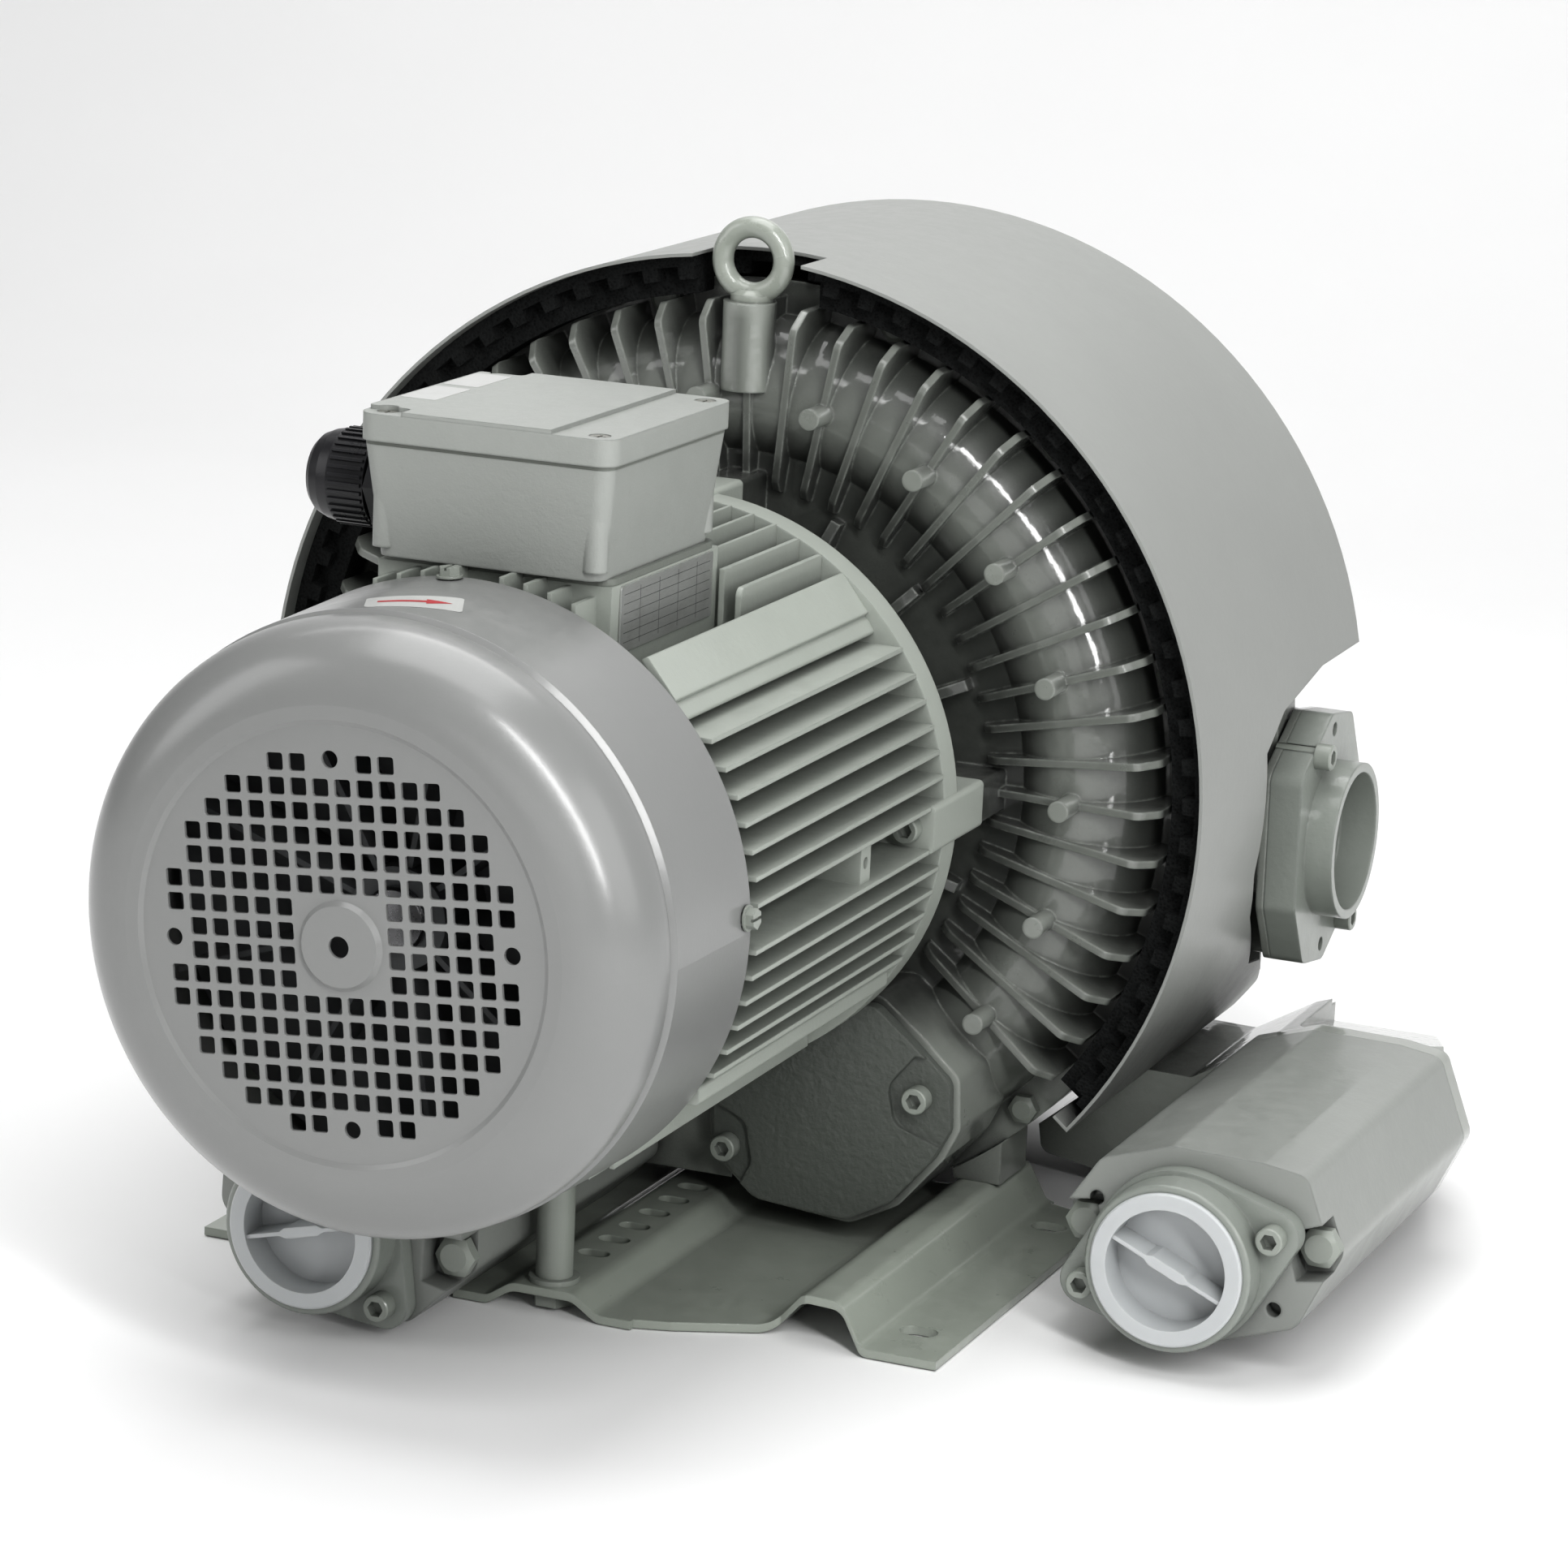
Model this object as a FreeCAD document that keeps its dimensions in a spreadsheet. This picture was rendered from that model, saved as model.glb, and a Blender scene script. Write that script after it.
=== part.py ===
# Two-stage side channel blower with a finned foot-less motor, pressed base plate and two silencers.
# Modelled in millimetres: +X right, +Y from the fan cowl towards the blower, +Z up.
# The sub-parts are drawn about the motor axis (machine frame: axis on Y, cowl face at Y = 0) and
# placed so that the origin is the centre of the four foot slots on the floor.
import FreeCAD, Part
import math, os
import Sketcher
from FreeCAD import Vector as V

doc = FreeCAD.newDocument("SideChannelBlower")
sheet = doc.addObject("Spreadsheet::Sheet", "Params")
PARAMS = [
    ("axis_height", 218.0), ("slot_mid_y", 335.0),
    # base
    ("plate_thk", 4.0), ("slot_dx", 161.0), ("slot_dy", 83.0), ("slot_rad", 6.0), ("slot_len", 17.5), ("rod_rad", 8.5),
    # motor
    ("cowl_face_rad", 99.0), ("cowl_rad", 131.4), ("cowl_len", 108.0), ("cowl_thk", 1.6), ("vent_pitch", 10.0), ("vent_side", 7.2),
    ("frame_front", 112.0), ("frame_rear", 322.0), ("frame_bore", 84.0), ("frame_core", 97.0), ("fin_tip", 134.5), ("fin_pitch", 11.1), ("fin_thk", 2.8),
    ("flange_rad", 137.0), ("flange_thk", 12.0), ("lug_end", 366.0),
    ("stator_len", 130.0), ("stator_bore", 50.5), ("rotor_rad", 50.0), ("shaft_rad", 19.0),
    # blower
    ("chan_rad", 172.0), ("chan_tube", 30.0), ("chan_wall", 6.0), ("fin_count", 57.0), ("cast_fin_thk", 3.6), ("stud_count", 19.0), ("stud_rad", 5.0),
    ("stage_a_y", 418.0), ("stage_b_y", 562.0), ("rim_rad", 222.0), ("imp_rad", 203.6), ("imp_width", 29.0), ("blade_count", 36.0), ("blade_thk", 3.0),
    ("hood_rad", 237.0), ("hood_thk", 1.6), ("hood_front", 378.0), ("hood_rear", 622.0),
    # ports and silencers
    ("port_bore", 32.0), ("stub_rad", 38.0), ("stub_len", 16.0), ("pflange_thk", 9.0), ("sil_len", 207.0), ("sil_bore", 37.4),
    ("sil_x", -72.0), ("sil_z", -164.5), ("sil_front", 145.0), ("out_x", 276.5), ("out_z", -160.5), ("out_front", 283.0),
    ("side_x", 243.0), ("side_y", 558.0), ("side_z", -43.0), ("side_thk", 16.0), ("side_stub", 14.0),
    # terminal box
    ("box_half_top", 57.5), ("box_half_low", 52.0), ("box_low_z", 134.5), ("box_top_z", 182.0), ("lid_top_z", 197.0), ("box_y", 175.0),
]
for i, (k, v) in enumerate(PARAMS, 1):
    sheet.set("A%d" % i, k)
    sheet.set("B%d" % i, str(v))
    sheet.setAlias("B%d" % i, k)
doc.recompute()
P = dict(PARAMS)
NODES = []          # (label, object)

# ---------------------------------------------------------------- helpers
def place(obj, label, dx=0.0, dy=0.0, dz=0.0):
    """Puts a sub-part into the part frame: floor level and foot centre are the origin."""
    obj.Label = label
    if obj.TypeId == "PartDesign::Body":
        obj.Tip.Refine = True
    obj.Placement = FreeCAD.Placement(V(dx, dy - P["slot_mid_y"], dz + P["axis_height"]), FreeCAD.Rotation())
    obj.setExpression("Placement.Base.y", "%s - Params.slot_mid_y" % dy)
    obj.setExpression("Placement.Base.z", "%s + Params.axis_height" % dz)
    NODES.append((label, obj))
    return obj

def rpoly(pts):
    """Closed outline from (x, y[, r]) corners, each corner rounded to radius r."""
    n = len(pts); out = []; ends = []
    for i in range(n):
        p = V(pts[i][0], pts[i][1], 0); r = pts[i][2] if len(pts[i]) > 2 else 0.0
        a = V(pts[i - 1][0], pts[i - 1][1], 0); b = V(pts[(i + 1) % n][0], pts[(i + 1) % n][1], 0)
        if r <= 0:
            ends.append((p, p, None)); continue
        u = (a - p).normalize(); w = (b - p).normalize()
        ang = u.getAngle(w)
        d = r / math.tan(ang / 2.0)
        s, e = p + u * d, p + w * d
        c = p + (u + w).normalize() * (r / math.sin(ang / 2.0))
        m = c + (p - c).normalize() * r
        ends.append((s, e, m))
    for i in range(n):
        s, e, m = ends[i]
        if m is not None:
            out.append(Part.Arc(s, m, e))
        s2 = ends[(i + 1) % n][0]
        if (s2 - e).Length > 1e-6:
            out.append(Part.LineSegment(e, s2))
    return out

def path(items):
    """Closed outline from a list of points; an item ('a', mid, end) adds an arc through mid."""
    out = []; cur = V(items[0][0], items[0][1], 0); first = cur
    for it in items[1:]:
        if it[0] == "a":
            m = V(it[1][0], it[1][1], 0); e = V(it[2][0], it[2][1], 0)
            out.append(Part.Arc(cur, m, e)); cur = e
        else:
            e = V(it[0], it[1], 0)
            out.append(Part.LineSegment(cur, e)); cur = e
    if (cur - first).Length > 1e-6:
        out.append(Part.LineSegment(cur, first))
    return out

def circ(x, y, r):
    return [Part.Circle(V(x, y, 0), V(0, 0, 1), r)]

def new_body(name):
    b = doc.addObject("PartDesign::Body", name)
    return b

def plane(body, role):
    for f in body.Origin.OriginFeatures:
        if f.Role == role:
            return f

def sketch(body, role, geo, off=0.0, name="Sketch", rot=None, expr=None, radius=None):
    s = body.newObject("Sketcher::SketchObject", name)
    s.AttachmentSupport = [(plane(body, role), "")]
    s.MapMode = "FlatFace"
    s.AttachmentOffset = FreeCAD.Placement(V(0, 0, off), FreeCAD.Rotation(V(0, 0, 1), rot or 0.0))
    if expr:
        s.setExpression("AttachmentOffset.Base.z", expr)
    s.addGeometry(geo, False)
    for gi, val, ex in (radius or []):
        ci = s.addConstraint(Sketcher.Constraint("Radius", gi, val))
        s.setExpression("Constraints[%d]" % ci, ex)
    s.Visibility = False
    return s

def pad(body, sk, length, rev=False, mid=False, expr=None, name="Pad"):
    p = body.newObject("PartDesign::Pad", name)
    p.Refine = False
    p.Profile = sk
    p.Length = length
    if mid:
        if hasattr(p, "SideType"):
            p.SideType = "Symmetric"
        else:
            p.Midplane = True
    p.Reversed = rev
    if expr:
        p.setExpression("Length", expr)
    body.Tip = p
    return p

def pocket(body, sk, length, rev=False, mid=False, expr=None, name="Pocket", check=True):
    doc.recompute()
    before = body.Shape.Volume
    p = body.newObject("PartDesign::Pocket", name)
    p.Refine = False
    p.Profile = sk
    p.Length = length
    if mid:
        if hasattr(p, "SideType"):
            p.SideType = "Symmetric"
        else:
            p.Midplane = True
    p.Reversed = rev
    if expr:
        p.setExpression("Length", expr)
    body.Tip = p
    doc.recompute()
    if check and not body.Shape.Volume < before - 1.0:
        p.Reversed = not rev
        doc.recompute()
        if not body.Shape.Volume < before - 1.0:
            raise RuntimeError("pocket cuts nothing: %s %s" % (body.Name, name))
    return p

def revolve(body, sk, name="Revolution", angle=360.0):
    r = body.newObject("PartDesign::Revolution", name)
    r.Refine = False
    r.Profile = sk
    r.ReferenceAxis = (sk, ["V_Axis"])
    r.Angle = angle
    body.Tip = r
    return r

def polar(body, feats, n, expr=None, name="PolarPattern", role="Y_Axis", angle=360.0):
    pp = body.newObject("PartDesign::PolarPattern", name)
    pp.Refine = False
    pp.Originals = feats if isinstance(feats, list) else [feats]
    pp.Axis = (plane(body, role), [""])
    pp.Angle = angle
    pp.Occurrences = int(n)
    if expr:
        pp.setExpression("Occurrences", expr)
    body.Tip = pp
    return pp

def turned(label, prof, ex=None):
    """A piece turned about the motor axis: prof is its half section as (radius, y)."""
    b = new_body(label)
    s = sketch(b, "XY_Plane", prof, name=label + "_section")
    revolve(b, s)
    return b

def prism_y(label, geo, y0, y1, radius=None, e0=None, elen=None):
    """A piece extruded along the motor axis from y0 to y1; geo is drawn in (x, z)."""
    b = new_body(label)
    s = sketch(b, "XZ_Plane", geo, off=-y0, name=label + "_outline", radius=radius, expr=("-(%s)" % e0) if e0 else None)
    pad(b, s, y1 - y0, rev=True, expr=elen)
    return b

def cut_y(b, geo, y0, y1, name="Cut"):
    s = sketch(b, "XZ_Plane", geo, off=-y0, name=name + "_outline")
    return pocket(b, s, y1 - y0, rev=False, name=name)

def add_y(b, geo, y0, y1, name="Boss", expr=None):
    s = sketch(b, "XZ_Plane", geo, off=-y0, name=name + "_outline")
    return pad(b, s, y1 - y0, rev=True, name=name, expr=expr)

def add_x(b, geo, x0, x1, name="BossX"):
    """geo drawn in (y, z), extruded from x0 to x1."""
    s = sketch(b, "YZ_Plane", geo, off=x0, name=name + "_outline")
    return pad(b, s, x1 - x0, name=name)

def cut_x(b, geo, x0, x1, name="CutX"):
    s = sketch(b, "YZ_Plane", geo, off=x0, name=name + "_outline")
    return pocket(b, s, x1 - x0, rev=True, name=name)

def add_z(b, geo, z0, z1, name="BossZ"):
    s = sketch(b, "XY_Plane", geo, off=z0, name=name + "_outline")
    return pad(b, s, z1 - z0, name=name)

def cut_z(b, geo, z0, z1, name="CutZ"):
    s = sketch(b, "XY_Plane", geo, off=z0, name=name + "_outline")
    return pocket(b, s, z1 - z0, rev=True, name=name)

def rect(x0, y0, x1, y1, r=0.0):
    return rpoly([(x0, y0, r), (x1, y0, r), (x1, y1, r), (x0, y1, r)])

def hexagon(x, y, af, rot=0.0):
    rr = af / math.sqrt(3.0)
    return rpoly([(x + rr * math.cos(math.radians(60 * k + rot)), y + rr * math.sin(math.radians(60 * k + rot))) for k in range(6)])

def pol(r, deg):
    return (r * math.cos(math.radians(deg)), r * math.sin(math.radians(deg)))

def rot2(x, y, deg, cx=0.0, cy=0.0):
    c, s = math.cos(math.radians(deg)), math.sin(math.radians(deg))
    return (cx + x * c - y * s, cy + x * s + y * c)

def group(label, shapes):
    """Several identical small pieces that share one node, kept as separate solids."""
    f = doc.addObject("Part::Feature", label)
    f.Shape = Part.makeCompound(shapes)
    place(f, label)
    return f

def solid(geo, plane_name, off, length):
    """Plain solid from an outline in XZ ('y'), YZ ('x') or XY ('z'), extruded along the positive axis."""
    w = Part.Wire([g.toShape() for g in geo])
    f = Part.Face(w)
    if plane_name == "y":
        f.rotate(V(0, 0, 0), V(1, 0, 0), 90); f.translate(V(0, off, 0)); return f.extrude(V(0, length, 0))
    if plane_name == "x":
        f.rotate(V(0, 0, 0), V(1, 0, 0), 90); f.rotate(V(0, 0, 0), V(0, 0, 1), 90); f.translate(V(off, 0, 0)); return f.extrude(V(length, 0, 0))
    f.translate(V(0, 0, off)); return f.extrude(V(0, 0, length))

def cyl(p, d, r, length):
    return Part.makeCylinder(r, length, V(*p), V(*d))

def socket_screw(p, d, dia, length, head_h=None):
    """Socket head cap screw: p is the seat of the head, d points out of the head."""
    r = dia / 2.0; hr = dia * 0.78; hh = head_h or dia
    dv = V(*d).normalize()
    h = Part.makeCylinder(hr, hh, V(*p), dv)
    h = h.makeChamfer(0.6, [e for e in h.Edges if e.Curve.TypeId == "Part::GeomCircle" and (e.Curve.Center - (V(*p) + dv * hh)).Length < 1e-3])
    s = Part.makeCylinder(r, length, V(*p), dv * -1.0)
    k = Part.makeCylinder(dia * 0.47, hh * 0.6, V(*p) + dv * (hh * 0.4), dv)
    # hexagon socket
    base = Part.Face(Part.Wire([g.toShape() for g in hexagon(0, 0, dia * 0.82)])).extrude(V(0, 0, hh * 0.6 + 1))
    base.Placement = FreeCAD.Placement(V(*p) + dv * (hh * 0.4), FreeCAD.Rotation(V(0, 0, 1), dv))
    return h.fuse(s).cut(base).removeSplitter()

def hex_bolt(p, d, dia, length, af=None, head_h=None):
    """Hexagon head bolt: p is the seat of the head, d points out of the head."""
    dv = V(*d).normalize(); af = af or dia * 1.6; hh = head_h or dia * 0.65
    head = Part.Face(Part.Wire([g.toShape() for g in hexagon(0, 0, af)])).extrude(V(0, 0, hh))
    keep = Part.makeCylinder(af * 0.62, hh * 0.65).fuse(Part.makeCone(af * 0.62, af * 0.62 - hh * 0.35 * 1.7, hh * 0.35, V(0, 0, hh * 0.65)))
    head = head.common(keep)
    head.Placement = FreeCAD.Placement(V(*p), FreeCAD.Rotation(V(0, 0, 1), dv))
    s = Part.makeCylinder(dia / 2.0, length, V(*p), dv * -1.0)
    return head.fuse(s).removeSplitter()

def hex_nut(p, d, dia, height, af=None):
    dv = V(*d).normalize(); af = af or dia * 1.6
    n = Part.Face(Part.Wire([g.toShape() for g in hexagon(0, 0, af)])).extrude(V(0, 0, height))
    n = n.cut(Part.makeCylinder(dia / 2.0, height + 2, V(0, 0, -1)))
    n.Placement = FreeCAD.Placement(V(*p), FreeCAD.Rotation(V(0, 0, 1), dv))
    return n

def washer(p, d, ri, ro, thk):
    dv = V(*d)
    return Part.makeCylinder(ro, thk, V(*p), dv).cut(Part.makeCylinder(ri, thk + 2, V(*p) - dv.normalize(), dv))

# ================================================================ base
T = P["plate_thk"]
# pressed section: perforated centre ridge, two floor channels, two long raised ridges, two feet
half = [(0, -206, 0), (15, -206, 10), (27, -214, 8), (100, -214, 14), (117, -195, 9), (136, -195, 8), (146.5, -214, 5), (182, -214, 0)]
top = [(-x, z, r) for x, z, r in reversed(half)][:-1] + half[1:]
top = [(-182, -214, 0)] + [t for t in top if abs(t[0]) < 182] + [(182, -214, 0)]
low = [(x, z - T, r) for x, z, r in top]
b = prism_y("base_plate", rpoly(top + list(reversed(low))), 200.0, 455.0)
# front edge: a tongue under the support rod, stepped back to the feet
for sgn in (-1, 1):
    cut_z(b, rpoly([(sgn * 44, 190), (sgn * 44, 203), (sgn * 60, 208), (sgn * 104, 229), (sgn * 118, 222), (sgn * 146, 219), (sgn * 190, 219), (sgn * 190, 190)]), -225, -185, name="FrontEdge")
    cut_z(b, rpoly([(sgn * 150, 470), (sgn * 150, 452), (sgn * 182.01, 440), (sgn * 190, 440), (sgn * 190, 470)]), -225, -185, name="RearCorner")
holes = []
for y in (255, 277, 299, 321, 343, 365):
    holes += rpoly([(-7.5, y - 4.5, 4.4), (7.5, y - 4.5, 4.4), (7.5, y + 4.5, 4.4), (-7.5, y + 4.5, 4.4)])
cut_z(b, holes, -225, -185, name="RidgeHoles")
hr, hl = P["slot_rad"], P["slot_len"]
slots = []
for sx in (-1, 1):
    for sy in (-1, 1):
        cx, cy = sx * P["slot_dx"], P["slot_mid_y"] + sy * P["slot_dy"]
        slots += rpoly([(cx - hl / 2, cy - hr, hr - 0.01), (cx + hl / 2, cy - hr, hr - 0.01), (cx + hl / 2, cy + hr, hr - 0.01), (cx - hl / 2, cy + hr, hr - 0.01)])
cut_z(b, slots, -225, -185, name="FootSlots")
cut_z(b, circ(0, 213, 5.3), -225, -185, name="RodHole")
cut_z(b, circ(-126.5, 416, 4.5) + circ(-126.5, 436, 4.5) + circ(126.5, 416, 4.5) + circ(126.5, 436, 4.5), -225, -185, name="BracketHoles")
place(b, "base_plate")

b = new_body("support_rod")
s = sketch(b, "XY_Plane", circ(0, 213, P["rod_rad"]), off=-203.5, radius=[(0, P["rod_rad"], "Params.rod_rad")], name="rod_outline")
pad(b, s, 66.5)
s = sketch(b, "XY_Plane", circ(0, 213, 5.0), off=-217.5, name="stud_outline")
pad(b, s, 14.5)
place(b, "support_rod")
group("support_rod_washer", [washer((0, 213, -206), (0, 0, 1), 5.1, 11.5, 2.5)])
group("support_rod_nut", [hex_nut((0, 213, -216.5), (0, 0, 1), 10, 6.5, 17)])

brs = []
for sx in (-1, 1):
    g = solid(rpoly([(sx * 115, -195), (sx * 138, -195), (sx * 138, -168, 4), (sx * 132, -156), (sx * 108, -156), (sx * 111, -180)]), "y", 410, 35)
    g = g.cut(Part.makeCylinder(P["rim_rad"], 60, V(0, 400, 0), V(0, 1, 0)))
    g = g.cut(cyl((sx * 126.5, 416, -200), (0, 0, 1), 4.05, 16)).cut(cyl((sx * 126.5, 436, -200), (0, 0, 1), 4.05, 16))
    brs.append(g)
group("foot_brackets", brs)
group("foot_bracket_bolts", [hex_bolt((sx * 126.5, y, -195.0 - T), (0, 0, -1), 8, 13.5) for sx in (-1, 1) for y in (416, 436)])

# ================================================================ motor
CR = P["cowl_rad"]; ct = P["cowl_thk"]
outer = [(4.5, -1.6), (17, -1.6), (18.8, 0.6), (91, 0.6), (93, -0.8), (99, -0.8), ("a", (117.5, 6.0), (130.0, 31)), (130.0, 34), (128.8, 35.5), (128.8, 37), (131.2, 39), (132.8, 108)]
inner = [(131.2, 108), (129.6, 39.6), (127.2, 37.5), (127.2, 35), (128.2, 33.4), (128.2, 31.2), ("a", (116.3, 7.4), (98.6, 0.9)), (94, 0.9), (91.6, 2.2), (17.9, 2.2), (16.4, 0.0), (4.5, 0.0)]
b = turned("fan_cowl", path(outer + inner))
PH = -5.3     # the punched pattern is turned a little about the axis, as fitted
rows = {7.5: [1.5, 2.5], 6.5: [.5, 1.5, 2.5, 3.5, 4.5], 5.5: [.5, 1.5, 2.5, 3.5, 4.5, 5.5], 4.5: [.5, 1.5, 2.5, 3.5, 4.5, 5.5, 6.5],
        3.5: [.5, 1.5, 2.5, 3.5, 4.5, 5.5, 6.5], 2.5: [.5, 1.5, 2.5, 3.5, 4.5, 5.5, 6.5, 7.5], 1.5: [2.5, 3.5, 4.5, 5.5, 6.5, 7.5], 0.5: [2.5, 3.5, 4.5, 5.5, 6.5]}
vent = []
pt, hs = P["vent_pitch"], P["vent_side"] / 2
for v, us in rows.items():
    for sv in (-1, 1):
        for u in us:
            for su in (-1, 1):
                cx, cz = su * u * pt, sv * v * pt
                vent += rpoly([rot2(cx - hs, cz - hs, -PH) + (1.2,), rot2(cx + hs, cz - hs, -PH) + (1.2,), rot2(cx + hs, cz + hs, -PH) + (1.2,), rot2(cx - hs, cz + hs, -PH) + (1.2,)])
for x, z in ((0, 76.7), (0, -76.7), (76.7, 0), (-76.7, 0)):
    p = rot2(x, z, -PH); vent += circ(p[0], p[1], 3.6)
cut_y(b, vent, -3, 5, name="Vents")
slot = []
SA = (3.0, 93.0, 183.0, 273.0)
for a in SA:
    d = rot2(1, 0, a); n = (-d[1], d[0])
    q = [(120 * d[0] - 3.2 * n[0], 120 * d[1] - 3.2 * n[1]), (140 * d[0] - 3.2 * n[0], 140 * d[1] - 3.2 * n[1]), (140 * d[0] + 3.2 * n[0], 140 * d[1] + 3.2 * n[1]), (120 * d[0] + 3.2 * n[0], 120 * d[1] + 3.2 * n[1])]
    slot += rpoly(q)
cut_y(b, slot, 99, 110, name="ScrewSlots")
place(b, "fan_cowl")

def slotted_screw(a):
    d = rot2(1, 0, a); dv = V(d[0], 0, d[1]); p = dv * 133.2 + V(0, 103.5, 0)
    w = Part.makeCylinder(5.6, 1.0, p, dv)
    hd = Part.Face(Part.Wire([g.toShape() for g in hexagon(0, 0, 8.0)])).extrude(V(0, 0, 3.6))
    hd.Placement = FreeCAD.Placement(p + dv * 1.0, FreeCAD.Rotation(V(0, 0, 1), dv))
    t = V(-d[1], 0, d[0])
    sl = Part.makeBox(1.2, 12, 1.6, V(-0.6, -6, 3.2)); sl.Placement = FreeCAD.Placement(p, FreeCAD.Rotation(V(0, 0, 1), dv))
    sh = Part.makeCylinder(2.5, 18, p, dv * -1)
    return w.fuse(hd).fuse(sh).cut(sl).removeSplitter()
group("fan_cowl_screws", [slotted_screw(a) for a in SA])

# cooling fan on the shaft end
b = turned("cooling_fan", path([(14.0, 50), (22, 50), (24, 84), (60, 87), (123.5, 87), (123.5, 89.4), (60, 90), (14.0, 90)]))
bl = sketch(b, "XZ_Plane", rect(19, -1.3, 110, 1.3), off=-52, name="blade_outline")
bp = pad(b, bl, 36.0, rev=True, name="Blade")
polar(b, bp, 9)
place(b, "cooling_fan")

# fan side end shield with bearing seat and four lugs for the cowl screws
b = turned("fan_end_shield", path([(18.5, 95), (27, 95), (44, 96), (50, 103), (88, 105), (96, 98), (104, 98), (104, 112), (83.9, 112), (83.9, 122), (79, 122), (79, 113), (50, 111), (46, 118), (36, 118), (36, 101), (18.5, 101)]))
lg = []
for a in SA:
    lg += rpoly([rot2(98, -7, a), rot2(129.2 - 0.4, -7, a), rot2(129.2 - 0.4, 7, a), rot2(98, 7, a)])
add_y(b, lg, 98.5, 109, name="CowlLugs")
place(b, "fan_end_shield")

# finned motor frame with corner rails, terminal pedestal and rod boss
y0, y1 = P["frame_front"], P["frame_rear"]
b = prism_y("motor_frame", circ(0, 0, P["frame_core"]) + circ(0, 0, P["frame_bore"]), y0, y1,
            radius=[(0, P["frame_core"], "Params.frame_core"), (1, P["frame_bore"], "Params.frame_bore")], e0="Params.frame_front", elen="Params.frame_rear - Params.frame_front")
tip, ft, fp = P["fin_tip"], P["fin_thk"] / 2, P["fin_pitch"]
fins = []
for sx in (-1, 1):
    for sz in (-1, 1):
        for k in range(7 if sz > 0 else 6):
            z = sz * (10.0 + fp * k)
            xin = math.sqrt(max(P["frame_core"] ** 2 - z * z, 0)) - 5.0
            xo = math.sqrt(tip * tip - z * z)
            fins += rpoly([(sx * xin, z - ft - 0.5), (sx * xo, z - ft * 0.75), (sx * xo, z + ft * 0.75), (sx * xin, z + ft + 0.5)])
add_y(b, fins, y0, y1, name="SideFins")
fins = []
for x in [5.5 + fp * k for k in range(1, 7)]:
    for sx in (-1, 1):
        zi = math.sqrt(P["frame_core"] ** 2 - x * x) - 5.0
        zo = math.sqrt(tip * tip - x * x)
        fins += rpoly([(sx * x - ft - 0.5, -zi), (sx * x - ft * 0.75, -zo), (sx * x + ft * 0.75, -zo), (sx * x + ft + 0.5, -zi)])
for x in [1.6 + fp * k for k in range(1, 5)]:
    for sx in (-1, 1):
        zi = math.sqrt(P["frame_core"] ** 2 - x * x) - 5.0
        zo = math.sqrt(tip * tip - x * x)
        fins += rpoly([(sx * x - ft - 0.5, zi), (sx * x - ft * 0.75, zo), (sx * x + ft * 0.75, zo), (sx * x + ft + 0.5, zi)])
add_y(b, fins, y0, y1, name="UpperLowerFins")
# two short fins each side behind the rating plate, the outer one with a rounded front corner
for sx in (-1, 1):
    add_x(b, rpoly([(232, 66), (232, 115.0, 4), (y1, 115.0), (y1, 66)]), min(sx * 66.9, sx * 69.7), max(sx * 66.9, sx * 69.7), name="ShortFin")
    add_x(b, rpoly([(239, 76), (239, 121.0), (y1, 121.0), (y1, 76)]), min(sx * 55.8, sx * 58.5), max(sx * 55.8, sx * 58.5), name="InnerFin")
rails = []
for sx in (-1, 1):
    rails += rpoly([(sx * 62, 71.5), (sx * 66, 79.8), (sx * 90, 80.4), (sx * 97.2, 82.4, 1.5), (sx * 93.4, 88.2), (sx * 91.6, 89.6), (sx * 93.3, 91.6, 0.8), (sx * 79.9, 108.2, 1.2),
                    (sx * 76.9, 106.9, 1.0), (sx * 87.4, 92.4, 1.5), (sx * 70, 87, 3), (sx * 54, 78.5)])
    rails += rpoly([(sx * 60, -62), (sx * 96, -69.5), (sx * 110.5, -72, 2), (sx * 110.5, -80, 2), (sx * 92, -80), (sx * 60, -74)])
add_y(b, rails, y0 + 1, y1, name="CornerRails")
# side flats that carry the small bosses, and the two boss blocks
flats = []
for sx in (-1, 1):
    flats += rect(sx * 90, -6, sx * 112, 6) if sx > 0 else rect(-112, -6, -90, 6)
add_y(b, flats, y0 + 1, y1, name="SideRails")
boss = []
for sx in (-1, 1):
    boss += rect(105, -9.0, 131, 9.0) if sx > 0 else rect(-131, -9.0, -105, 9.0)
add_y(b, boss, 232, 243, name="SideBosses")
cut_x(b, circ(237.5, 0, 2.6), 119, 140, name="SideBossHoleR")
# bottom boss over the support rod
add_y(b, rect(-12, -137.0, 12, -90), 201, 225, name="RodBoss")
# pedestal under the terminal box
add_y(b, rpoly([(-54, 88, 0), (-54.5, 131.0, 0), (54.5, 131.0, 0), (54, 88, 0)]), 131, 240, name="Pedestal")
cut_z(b, rect(-40, 142, 40, 228, 6), 84, 131, name="PedestalWell")
cut_z(b, rect(-54.6, 130, 54.6, 241), 131, 140, name="PedestalTop")
# lug pockets at the rear of the frame
cut_y(b, sum([rpoly([rot2(107.5, -11.8, a), rot2(142, -11.8, a), rot2(142, 11.8, a), rot2(107.5, 11.8, a)]) for a in (0, 90, 180, 270)], []), 305.6, y1 + 1, name="LugClear")
place(b, "motor_frame")

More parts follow.
